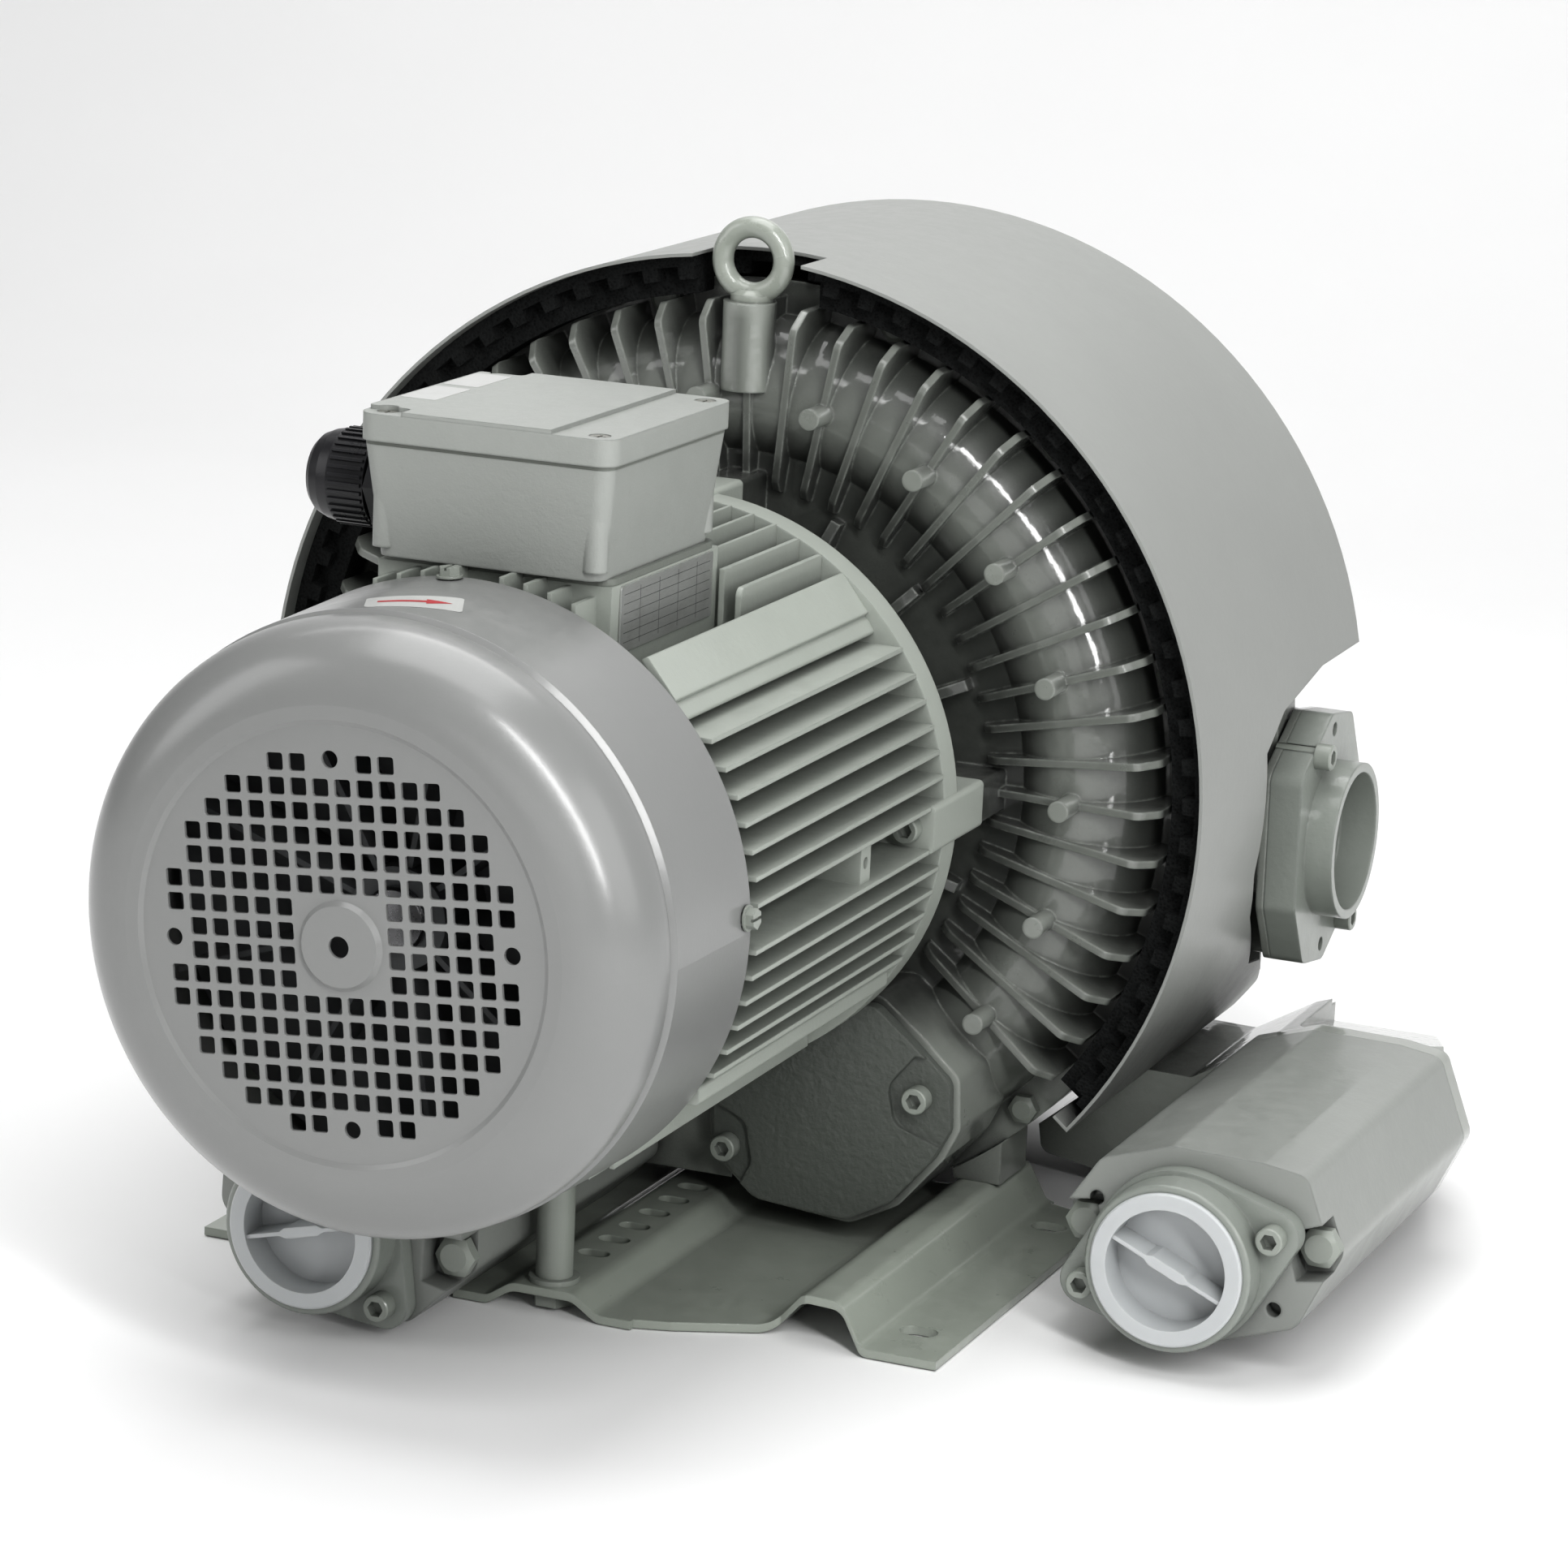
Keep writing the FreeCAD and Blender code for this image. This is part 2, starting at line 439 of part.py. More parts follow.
# drive side flange with four lugs that reach back to the blower casing
b = turned("motor_drive_flange", path([(46, 300), (62, 300), (62, 316), (79, 318), (79, 314), (83.9, 314), (83.9, 322), (134.3, 322), (134.3, 338), (121, 338), (121, 334), (62, 334), (62, 345.5), (60.2, 345.5), (60.2, 334), (30, 334), (30, 331.5), (50, 331.5), (50, 304), (46, 304)]))
lugs = []
for a in (0, 90, 180, 270):
    lugs += rpoly([rot2(109, -11, a), rot2(136, -11, a) + (2.5,), rot2(136, 11, a) + (2.5,), rot2(109, 11, a)])
add_y(b, lugs, 306, P["lug_end"], name="Lugs")
hl4 = []
for a in (0, 90, 180, 270):
    p = rot2(124, 0, a); hl4 += circ(p[0], p[1], 4.5)
cut_y(b, hl4, 300, 370, name="LugHoles")
place(b, "motor_drive_flange")
group("motor_flange_screws", [socket_screw((rot2(124, 0, a)[0], 306, rot2(124, 0, a)[1]), (0, -1, 0), 8, 82, 7) for a in (0, 90, 180, 270)])

# stator: laminated ring with 24 slots, and the winding that fills them
n = 24
b = turned("stator_core", path([(P["stator_bore"], 150), (84.0, 150), (84.0, 280), (P["stator_bore"], 280)]))
ss = sketch(b, "XZ_Plane", rpoly([(54, -2.6), (70, -4.2, 1.5), (70, 4.2, 1.5), (54, 2.6)]), off=-145, name="slot_outline")
sp = pocket(b, ss, 140.0, name="Slot")
polar(b, sp, n)
place(b, "stator_core")
b = turned("stator_winding", path([(55.5, 128, ), (69, 128), (73, 134), (73, 146), (68, 149.7), (55.5, 149.7)]))
s2 = sketch(b, "XY_Plane", path([(55.5, 298), (69, 298), (73, 294), (73, 284), (68, 280.3), (55.5, 280.3)]), name="rear_winding")
s3 = sketch(b, "XZ_Plane", rpoly([(56.0, -2.5), (69.6, -3.9, 1.2), (69.6, 3.9, 1.2), (56.0, 2.5)]), off=-149.0, name="bar_outline")
bar = pad(b, s3, 132.0, rev=True, name="SlotBar")
polar(b, bar, n)
rv = b.newObject("PartDesign::Revolution", "RearTurns")
rv.Profile = s2; rv.ReferenceAxis = (s2, ["V_Axis"]); rv.Angle = 360.0; b.Tip = rv
place(b, "stator_winding")

# rotor group on the common shaft
b = turned("rotor_core", path([(22.0, 140), (30, 140), (30, 144), (36, 144), (36, 138), (49, 138), (P["rotor_rad"], 146), (P["rotor_rad"], 284), (49, 292), (36, 292), (36, 286), (30, 286), (30, 290), (22.0, 290)]))
place(b, "rotor_core")
b = turned("rotor_shaft", path([(0, 46), (12.8, 46), (14, 47.5), (14, 96), (17.5, 97), (17.5, 118), (22, 119), (22, 305.5), (26, 305.5), (26, 306), (22.5, 306), (22.5, 331), (19, 332), (19, 568.6), (12, 569.4), (12, 588), (10.5, 590), (0, 590)]))
kw = sketch(b, "XY_Plane", rect(-3, 412, 3, 452, 2.9), off=16.0, name="keyway_a")
pocket(b, kw, 8.0, rev=True, name="KeywayA")
kw = sketch(b, "XY_Plane", rect(-3, 528, 3, 568, 2.9), off=16.0, name="keyway_b")
pocket(b, kw, 8.0, rev=True, name="KeywayB")
place(b, "rotor_shaft")

def bearing(prefix, ri, ro, ya, yb, nballs):
    """Deep groove ball bearing: outer race fixed, inner race and balls with the shaft."""
    m = (ya + yb) / 2; pr = (ri + ro) / 2; br = (ro - ri) * 0.17
    io, oi = pr - br * 0.72, pr + br * 0.72
    rg = br + 0.3
    dy = math.sqrt(rg * rg - (oi - pr) ** 2)
    b = turned(prefix + "_outer_race", path([(oi, ya), (ro, ya), (ro, yb), (oi, yb), (oi, m + dy), ("a", (pr + rg, m), (oi, m - dy)), (oi, ya)]))
    place(b, prefix + "_outer_race")
    dyi = math.sqrt(br * br - (pr - io) ** 2)
    w = Part.Wire([g.toShape() for g in path([(ri, ya), (io, ya), (io, m - dyi), ("a", (pr - br, m), (io, m + dyi)), (io, yb), (ri, yb)])])
    ring = Part.Face(w).revolve(V(0, 0, 0), V(0, 1, 0), 360)
    balls = [Part.makeSphere(br - 0.05, V(pr * math.cos(2 * math.pi * k / nballs), m, pr * math.sin(2 * math.pi * k / nballs))) for k in range(nballs)]
    group(prefix + "_inner_race_and_balls", [ring] + balls)
bearing("fan_bearing", 17.5, 36.0, 101, 118, 9)
bearing("drive_bearing", 22.5, 50.0, 306, 331, 8)

def keyshape(ya, yb):
    return solid(rect(-2.95, ya + 0.1, 2.95, yb - 0.1, 2.9), "z", 16.0, 6.3)
group("impeller_keys", [keyshape(412, 452), keyshape(528, 568)])
b = turned("shaft_seal", path([(23.8, 392), (32, 392), (32, 404), (29, 404), (26.5, 398), (25, 404), (23.8, 402)]))
place(b, "shaft_seal")

# ---------------------------------------------------------------- terminal box
def frame_ring(label, x, ya, yb, z0, z1, wall, r):
    b = new_body(label)
    s = sketch(b, "XY_Plane", rect(-x, ya, x, yb, r) + rect(-x + wall, ya + wall, x - wall, yb - wall, max(r - wall / 2, 1)), off=z0, name=label + "_outline")
    pad(b, s, z1 - z0)
    place(b, label)
    return b
frame_ring("terminal_box_gasket", 54.0, 131.0, 239.0, 131.0, 134.0, 9.0, 6.0)
b = new_body("terminal_box_body")
lo = sketch(b, "XY_Plane", rect(-P["box_half_low"], 123.5, P["box_half_low"], 236.5, 7), off=134.0, name="lower_outline")
hi = sketch(b, "XY_Plane", rect(-P["box_half_top"], 118.0, P["box_half_top"], 240.5, 7), off=P["box_top_z"], name="upper_outline", expr="Params.box_top_z")
lf = b.newObject("PartDesign::AdditiveLoft", "Shell"); lf.Profile = lo; lf.Sections = [hi]; lf.Ruled = True; b.Tip = lf
doc.recompute()
li = sketch(b, "XY_Plane", rect(-P["box_half_low"] + 4.2, 127.7, P["box_half_low"] - 4.2, 232.3, 5), off=138.0, name="lower_inside")
hi2 = sketch(b, "XY_Plane", rect(-P["box_half_top"] + 4, 122.0, P["box_half_top"] - 4, 236.5, 5), off=P["box_top_z"] + 0.01, name="upper_inside")
lc = b.newObject("PartDesign::SubtractiveLoft", "Hollow"); lc.Profile = li; lc.Sections = [hi2]; lc.Ruled = True; b.Tip = lc
doc.recompute()
posts = []
for sx in (-1, 1):
    for y in (126.0, 232.5):
        posts += circ(sx * 49.0, y, 5.2)
add_z(b, posts, 138.0, P["box_top_z"], name="ScrewPosts")
cut_z(b, circ(-49, 126, 2.0) + circ(49, 126, 2.0) + circ(-49, 232.5, 2.0) + circ(49, 232.5, 2.0), 150.0, 190.0, name="PostHoles")
cut_z(b, rect(-30, 152, 30, 216, 5), 130.0, 139.0, name="WireOpening")
cut_x(b, circ(165.0, 158.0, 15.0), -62.0, -44.0, name="GlandHole")
place(b, "terminal_box_body")
frame_ring("terminal_box_lid_gasket", 57.6, 118.2, 240.3, 182.0, 183.6, 3.4, 7.0)
b = new_body("terminal_box_lid")
s = sketch(b, "XY_Plane", rect(-59.0, 116.5, 59.0, 242.0, 8.5), off=183.6, name="lid_outline")
pad(b, s, 11.6)
add_z(b, rpoly([(-38, 116.8), (31, 116.8), (31, 241.7), (-38, 241.7), (-38, 232, 3), (-58.4, 232, 2), (-58.4, 127, 2), (-38, 127, 3)]), 195.2, 197.0, name="RaisedPanel")
cut_z(b, rect(-54.5, 121.0, 54.5, 237.5, 5), 183.0, 192.2, name="LidHollow")
add_z(b, circ(-49, 126, 6) + circ(49, 126, 6) + circ(-49, 232.5, 6) + circ(49, 232.5, 6), 183.8, 194.0, name="LidPosts")
cut_z(b, circ(-49, 126, 2.3) + circ(49, 126, 2.3) + circ(-49, 232.5, 2.3) + circ(49, 232.5, 2.3), 183.0, 199.0, name="LidHoles")
cut_z(b, circ(-49, 126, 4.6) + circ(49, 126, 4.6) + circ(-49, 232.5, 4.6) + circ(49, 232.5, 4.6), 192.2, 199.0, name="LidSinks")
place(b, "terminal_box_lid")

def cross_screw(x, y, z, r, hr, hh, length):
    hd = Part.makeCylinder(hr, hh, V(x, y, z)).fuse(Part.makeCylinder(r, length, V(x, y, z), V(0, 0, -1)))
    c = Part.makeBox(hr * 1.3, 1.0, 1.4, V(x - hr * 0.65, y - 0.5, z + hh - 1.4)).fuse(Part.makeBox(1.0, hr * 1.3, 1.4, V(x - 0.5, y - hr * 0.65, z + hh - 1.4)))
    return hd.cut(c).removeSplitter()
group("terminal_box_lid_screws", [cross_screw(sx * 49, y, 192.3, 1.95, 4.4, 2.6, 30.0) for sx in (-1, 1) for y in (126.0, 232.5)])
tb = [Part.makeBox(66, 44, 9, V(-33, 162, 139.2))]
tb[0] = tb[0].cut(Part.makeBox(62, 2, 4, V(-31, 183, 144.5)))
for i in (-1, 0, 1):
    for j in (0, 1):
        x, y = i * 21.0, 173.0 + 22 * j
        tb.append(Part.makeCylinder(3.0, 16, V(x, y, 148.2)))
        tb.append(hex_nut((x, y, 150.2), (0, 0, 1), 6.0, 5.0, 10.0))
for i in (-1, 0, 1):
    x = i * 21.0
    link = Part.makeBox(10, 32, 2.0, V(x - 5, 168, 148.2))
    for j in (0, 1):
        link = link.cut(Part.makeCylinder(3.0, 4, V(x, 173.0 + 22 * j, 147)))
    tb.append(link)
group("terminal_board_and_links", tb)
b = new_body("blank_rating_plate")
s = sketch(b, "YZ_Plane", rect(139, 101.5, 233, 130.0, 1.5), off=54.5, name="plate_outline")
pad(b, s, 0.8)
place(b, "blank_rating_plate")

# ---------------------------------------------------------------- cable gland
gy, gz = 165.0, 158.0
def gland_ring(rad_x):
    """Ring turned about the gland's axis, from (radius, x) corners."""
    pts = [V(x, gy + r, gz) for r, x in rad_x]
    w = Part.makePolygon(pts + [pts[0]])
    return Part.Face(w).revolve(V(0, gy, gz), V(1, 0, 0), 360)
hexb = solid(hexagon(gy, gz, 39.0, 0), "x", -69.0, 13.0)
body_ = hexb.fuse(gland_ring([(0, -46), (14.9, -46), (14.9, -57.5), (17.5, -57.5), (17.5, -90), (0, -90)]))
body_ = body_.cut(Part.makeCylinder(11.5, 80, V(-100, gy, gz), V(1, 0, 0)))
# the seat of the gland follows the sloping side wall of the box
slope = solid(rpoly([(-52.0, 134.0), (-57.5, 182.0), (-30, 182.0), (-30, 134.0)]), "y", gy - 30, 60)
body_ = body_.cut(slope.cut(Part.makeCylinder(14.95, 80, V(-100, gy, gz), V(1, 0, 0)))).removeSplitter()
group("cable_gland_body", [body_])
group("cable_gland_seal", [gland_ring([(9.0, -74), (11.4, -74), (11.4, -90), (13.5, -91), (13.5, -97), (9.0, -97)])])
nut = gland_ring([(17.6, -70), (20.4, -70), (20.4, -88), (19.4, -93), (17.5, -97.5), (15.0, -100), (11.0, -101), (11.0, -97.2), (13.8, -97.2), (13.8, -90.2), (17.6, -90.2)])
rr = []
for k in range(36):
    rb = Part.makeBox(16.0, 1.5, 1.4, V(-87.0, -0.75, 19.9))
    rb.rotate(V(0, 0, 0), V(1, 0, 0), 10.0 * k); rb.translate(V(0, gy, gz)); rr.append(rb)
nut = nut.multiFuse(rr).removeSplitter()
group("cable_gland_nut", [nut])

# ================================================================ blower
RC, A, W = P["chan_rad"], P["chan_tube"], P["chan_wall"]
def mir(y):
    return 980.0 - y            # the casing is symmetric about y = 490
flat = rect(-150, -240, 150, -206.0)          # the casings stand on the centre ridge of the base
cover_outline = [(78, -99, 10), (96, -97, 8), (116, -113, 8), (134, -129, 8), (135, -152, 8), (128, -166, 10), (108, -190, 12), (86, -202, 14), (40, -199, 14), (17, -180, 10), (16, -156, 12)]
def grow(pts, d, sx=1):
    """Outline enlarged by d about its middle, mirrored for the left side."""
    cx = sum(p[0] for p in pts) / len(pts); cz = sum(p[1] for p in pts) / len(pts)
    out = []
    for p in pts:
        l = math.hypot(p[0] - cx, p[1] - cz)
        out.append((sx * (cx + (p[0] - cx) * (l + d) / l), cz + (p[1] - cz) * (l + d) / l, p[2]))
    return out

RIM = [3.36 + 360.0 / 57 * k for k in (2, 7, 11, 16, 21, 26, 30, 35, 49)]
side_outline = [(510, -5, 8), (554, 19, 10), (586, 14, 8), (604, -16, 8), (606, -81, 8), (562, -105, 10), (530, -100, 8), (512, -70, 8)]
SIDE_SCREWS = [(P["side_y"] - 26.3, P["side_z"] + 45.6), (P["side_y"] + 26.3, P["side_z"] - 45.6)]
SIDE_HOLES = [(P["side_y"], P["side_z"] + 53.5), (P["side_y"], P["side_z"] - 53.5)]
bh = []
for a in RIM:
    bh += circ(*pol(214.6, a), 4.3)
def barrier():
    return rpoly([rot2(141.0, -20, 270), rot2(203, -20, 270), rot2(203, 20, 270), rot2(141.0, 20, 270)])
def hub_ribs(b, f):
    s = sketch(b, "XY_Plane", path([(58, f(397)), (58, f(374)), (64, f(372)), (118, f(386)), (126, f(389)), (126, f(397))]), name="rib_outline")
    polar(b, pad(b, s, 5.0, mid=True, name="HubRib"), 16, name="HubRibs")
def fins(b, f, start, count):
    """Straight crested radial fins that turn back along the outside of the channel."""
    s = sketch(b, "XY_Plane", rpoly([(128.0, f(397.5)), (128.5, f(391.0), 3), (134, f(387.0), 6), (206.5, f(377.5), 5), (214.8, f(388.0), 6), (214.8, f(418.4)), (204.5, f(418.4)), (204.5, f(412)), (196, f(398)), (185, f(389.0)), (172, f(385.8)), (158, f(389.0)), (146, f(397.5))]), name="fin_outline")
    s.AttachmentOffset = FreeCAD.Placement(V(0, 0, 0), FreeCAD.Rotation(V(0, 1, 0), -(0.2 + 360.0 / 57 * start)))
    polar(b, pad(b, s, P["cast_fin_thk"], mid=True, expr="Params.cast_fin_thk", name="Fin"), count, name="Fins", angle=360.0 / 57 * (count - 1))
def studs(b, ya, yb, skip):
    st = []
    for k in range(int(P["stud_count"])):
        a = 0.2 + k * 360.0 / P["stud_count"]
        if not skip[0] < a % 360 < skip[1]:
            st += circ(*pol(RC, a), P["stud_rad"])
    add_y(b, st, ya, yb, name="Studs")

# front casing with the half channel of stage one
b = turned("front_casing", path([(46, 334.0), (60, 334), (60, 396), (144.4, 396), ("a", (172, 384), (206.0, 418.0)), (222, 418), (222, 433), (204.4, 433), (204.4, 418), (202, 418),
                                 ("a", (172, 388), (142, 418)), (130, 418), (130, 404), (60, 404), (54, 410), (32.0, 410), (32.0, 396), (46, 396)]))
# two port faces, joined by a web
for sx, nm in ((1, "PortBoxR"), (-1, "PortBoxL")):
    add_y(b, rpoly(grow(cover_outline, 3.5, sx)), 352.0, 409.0, name=nm)
add_y(b, rpoly([(-22, -150), (22, -150), (22, -196), (-22, -196)]), 360.0, 409.0, name="PortBoxWeb")
# four posts that take the motor flange lugs
po, ph = [], []
for a in (0, 90, 180, 270):
    po += rpoly([rot2(111, -10, a), rot2(135.5, -10, a) + (2,), rot2(135.5, 10, a) + (2,), rot2(111, 10, a)]); ph += circ(*rot2(124, 0, a), 4.0)
add_y(b, po, P["lug_end"], 398.0, name="LugPosts")
s = sketch(b, "XY_Plane", circ(1.0, 389.0, 12.4), off=174.0, name="eye_boss_outline")
pad(b, s, 41.0, name="EyeBoss")
studs(b, 367.0, 389.0, (222, 318))
hub_ribs(b, lambda y: y)
# the side channel is cleared, then closed between the ports by the barrier
g = b.newObject("PartDesign::Groove", "ChannelGroove")
gs = sketch(b, "XY_Plane", path([(130.2, 434), (204.4, 434), (204.4, 418), (202, 418), ("a", (172, 388), (142, 418)), (130.2, 418)]), name="channel_section")
g.Profile = gs; g.ReferenceAxis = (gs, ["V_Axis"]); g.Angle = 360.0; g.Refine = False; b.Tip = g
add_y(b, barrier(), 389.5, 417.9, name="ChannelBarrier")
cut_y(b, circ(72, -157, 29.5) + circ(-72, -157, 29.5), 350, 405, name="PortBores")
cut_y(b, circ(24.7, -176, 4.2) + circ(119.3, -138, 4.2), 350, 376, name="PortScrewHoles")
cut_y(b, circ(*rot2(52.2, -14, -3, P["sil_x"], P["sil_z"]), 5.1) + circ(*rot2(-52.2, 14, -3, P["sil_x"], P["sil_z"]), 5.1), 350, 377, name="SilencerBoltHoles")
cut_y(b, bh, 405, 434, name="RimHoles")
cut_y(b, ph, 360, 390.0, name="LugPostHoles")
cut_y(b, flat, 330, 434.5, name="FlatBottom")
fins(b, lambda y: y, 35, 42)
s = sketch(b, "XY_Plane", circ(1.0, 391.0, 6.0), off=198.0, name="eye_hole_outline")
pocket(b, s, 18.0, rev=True, name="EyeHole")
place(b, "front_casing")

# centre casing: the rear half channel of stage one and the front half channel of stage two
b = turned("centre_casing", path([(204.4, 433), (222, 433), (222, 445), (208, 448), ("a", (197.46, 473.46), (178.25, 483.45)), (178.25, 496.55), ("a", (197.46, 506.54), (208, 532)), (222, 535), (222, 547), (204.4, 547), (204.4, 532), (202, 532), ("a", (172, 502), (142, 532)),
                                  (130, 532), (130, 518), (124, 518), (124, 497), (38, 497), (38, 518), (25.5, 518), (25.5, 462), (38, 462), (38, 483), (124, 483), (124, 462), (130, 462), (130, 448),
                                  (142, 448), ("a", (172, 478), (202, 448)), (204.4, 448)]))
s = sketch(b, "XY_Plane", path([(205, 447.5), (221, 447.5), (221, 532.5), (205, 532.5), (200.6, 515.5), (188.5, 503.4), (180, 499.6), (180, 480.4), (188.5, 476.6), (200.6, 464.5)]), name="outer_rib_outline")
s.AttachmentOffset = FreeCAD.Placement(V(0, 0, 0), FreeCAD.Rotation(V(0, 1, 0), -7.5))
orb = pad(b, s, 4.0, mid=True, name="OuterRib")
polar(b, orb, 24, name="OuterRibs")
for ya, yb, nm in ((448.1, 477.0, "BarrierA"), (503.0, 531.9, "BarrierB")):
    add_y(b, rpoly([rot2(141.0, -20, 270), rot2(203, -20, 270), rot2(203, 20, 270), rot2(141.0, 20, 270)]), ya, yb, name=nm)
cut_y(b, bh, 430, 550, name="RimHoles")
cut_y(b, flat, 430, 550, name="FlatBottom")
# passage from stage one to stage two through the dividing wall
cut_y(b, circ(*pol(172, 240), 17.0), 470, 510, name="Transfer")
place(b, "centre_casing")

b = turned("rear_casing", path([(0, 608), (62, 608), (66, 604), (66, 584), (144.4, 584), ("a", (172, 596), (206.0, 562.0)), (222, 562), (222, 547), (204.4, 547), (204.4, 562), (202, 562),
                                ("a", (172, 592), (142, 562)), (130, 562), (130, 576), (56, 576), (56, 600), (0, 600)]))
add_x(b, rpoly([(548, 14, 6), (586, 13, 8), (603, -16, 8), (605, -81, 8), (562, -104, 8), (548, -103, 4)]), 188.0, P["side_x"] - P["side_thk"], name="SidePortBox")
add_x(b, rpoly(side_outline), 223.2, P["side_x"] - P["side_thk"], name="SidePortFace")
# lower right port face for the outlet duct
add_y(b, rpoly([rot2(188, -30, -50), rot2(226, -30, -50), rot2(226, 30, -50), rot2(188, 30, -50)]), 562.2, 602.0, name="DuctPortBox")
studs(b, mir(389.0), mir(367.0), (290, 349))
hub_ribs(b, mir)
g = b.newObject("PartDesign::Groove", "ChannelGroove")
gs = sketch(b, "XY_Plane", path([(130.2, 546), (204.4, 546), (204.4, 562), (202, 562), ("a", (172, 592), (142, 562)), (130.2, 562)]), name="channel_section")
g.Profile = gs; g.ReferenceAxis = (gs, ["V_Axis"]); g.Angle = 360.0; g.Refine = False; b.Tip = g
add_y(b, barrier(), 562.1, 590.5, name="ChannelBarrier")
cut_x(b, circ(P["side_y"], P["side_z"], 31.0), 197.0, 245.0, name="SidePortBore")
cut_x(b, circ(*SIDE_SCREWS[0], 4.2) + circ(*SIDE_SCREWS[1], 4.2), 212.0, 230.0, name="SideScrewHoles")
cut_y(b, circ(*pol(214.6, RIM[8]), 7.6), 562.0, 604.0, name="NutAccess")
cut_y(b, bh, 546, 575, name="RimHoles")
cut_y(b, flat, 546, 610, name="FlatBottom")
# passage from the channel into the outlet duct
DUCT_BORE = rpoly([rot2(192, -17, -50) + (3,), rot2(240, -17, -50), rot2(240, 17, -50), rot2(192, 17, -50) + (3,)])
cut_y(b, DUCT_BORE, 571.0, 590.0, name="DuctPort")
fins(b, mir, 46, 45)
place(b, "rear_casing")

# impellers
def impeller(label, m):
    """m is the middle plane of the blade ring."""
    w = P["imp_width"] / 2
    b = turned(label, path([(19.03, m - 22.5), (34, m - 22.5), (38, m - 4.5), (140, m - 4), (140, m - w), (146, m - w), (146, m - 2), (203.0, m - 2), (203.0, m + 2), (146, m + 2), (146, m + w), (140, m + w), (140, m + 4), (38, m + 4.5), (34, m + 22.5), (19.03, m + 22.5)]))
    s = sketch(b, "XZ_Plane", rpoly([(144.5, -1.5), (P["imp_rad"], -1.5), (P["imp_rad"], 1.5), (144.5, 1.5)]), off=-(m - w), name="blade_outline")
    bp = pad(b, s, 2 * w, rev=True, expr="Params.imp_width", name="Blade")
    polar(b, bp, P["blade_count"], expr="Params.blade_count", name="Blades")
    kw = sketch(b, "XY_Plane", rect(-3.0, m - 30, 3.0, m + 30), off=0.0, name="keyway_outline")
    k = pocket(b, kw, 22.4, rev=True, name="Keyway")
    hs_ = sketch(b, "XZ_Plane", sum([circ(pol(88, 30 + 60 * i)[0], pol(88, 30 + 60 * i)[1], 14.0) for i in range(6)], []), off=-(m - 6), name="web_hole_outline")
    pocket(b, hs_, 12.0, rev=False, name="WebHoles")
    place(b, label)
impeller("stage_one_impeller", 433.0)
impeller("stage_two_impeller", 547.0)
def sleeve(ri, ro, ya, yb):
    return Part.makeCylinder(ro, yb - ya, V(0, ya, 0), V(0, 1, 0)).cut(Part.makeCylinder(ri, yb - ya + 2, V(0, ya - 1, 0), V(0, 1, 0)))
group("impeller_spacers", [sleeve(19.03, 23.5, 332.2, 410.5), sleeve(19.03, 25.2, 455.5, 524.5)])
b = turned("impeller_end_washer", path([(12.05, 569.5), (30, 569.5), (30, 574), (12.05, 574)])); place(b, "impeller_end_washer")
group("impeller_nut", [hex_nut((0, 574.0, 0), (0, 1, 0), 24.1, 12.0, 36.0)])

tie = []
for a in RIM:
    q = pol(214.6, a)
    tie.append(hex_bolt((q[0], 418.0, q[1]), (0, -1, 0), 8, 152.0, 12.6, 5.5))
    tie.append(hex_nut((q[0], 562.0, q[1]), (0, 1, 0), 8.04, 6.4, 12.6))
group("casing_tie_bolts_and_nuts", tie)

# blind cover on the unused port
b = prism_y("blind_port_cover", rpoly(cover_outline), 345.0, 352.0)
cut_y(b, rpoly([(5, -150), (34, -162, 8), (38, -182, 8), (26, -205), (5, -205)]), 344.0, 347.6, name="ScrewLandL")
cut_y(b, rpoly([(150, -120), (117, -118), (104, -134, 10), (108, -152, 8), (150, -166)]), 344.0, 347.6, name="ScrewLandR")
cut_y(b, circ(24.7, -176, 4.3) + circ(119.3, -138, 4.3), 344, 353, name="CoverHoles")
place(b, "blind_port_cover")
group("blind_port_cover_screws", [socket_screw((24.7, 347.6, -176), (0, -1, 0), 8, 20), socket_screw((119.3, 347.6, -138), (0, -1, 0), 8, 20)])

# lifting eye: threaded stem, collar and ring
eye = Part.makeTorus(15.2, 5.0, V(1, 391, 233.5), V(0, 1, 0))
eye = eye.fuse(Part.makeCylinder(10.0, 3.0, V(1, 391, 215.0))).fuse(Part.makeCone(9.0, 6.5, 2.2, V(1, 391, 218.0))).fuse(Part.makeCylinder(5.95, 18, V(1, 391, 199.0)))
group("lifting_eye", [eye.removeSplitter()])

# ---------------------------------------------------------------- noise hood
hr_, ht = P["hood_rad"], P["hood_thk"]
A0, A1 = -40.2, 220.2
def arcband(ro, ri, a0, a1):
    am = (a0 + a1) / 2
    return path([pol(ro, a0), ("a", pol(ro, am), pol(ro, a1)), pol(ri, a1), ("a", pol(ri, am), pol(ri, a0)), pol(ro, a0)])
def band_with_lips(ro, t, a0, a1, lip):
    am = (a0 + a1) / 2; ri = ro - t; dl = math.degrees(t / ri)
    return path([pol(ro, a0), ("a", pol(ro, am), pol(ro, a1)), pol(ri - lip, a1), pol(ri - lip, a1 - dl), pol(ri, a1 - dl), ("a", pol(ri, am), pol(ri, a0 + dl)), pol(ri - lip, a0 + dl), pol(ri - lip, a0), pol(ro, a0)])
b = new_body("noise_hood")
s = sketch(b, "XZ_Plane", band_with_lips(hr_, ht, A0, A1, 8.0), off=-P["hood_front"], name="hood_outline", expr="-Params.hood_front")
pad(b, s, P["hood_rear"] - P["hood_front"], rev=True, expr="Params.hood_rear - Params.hood_front")
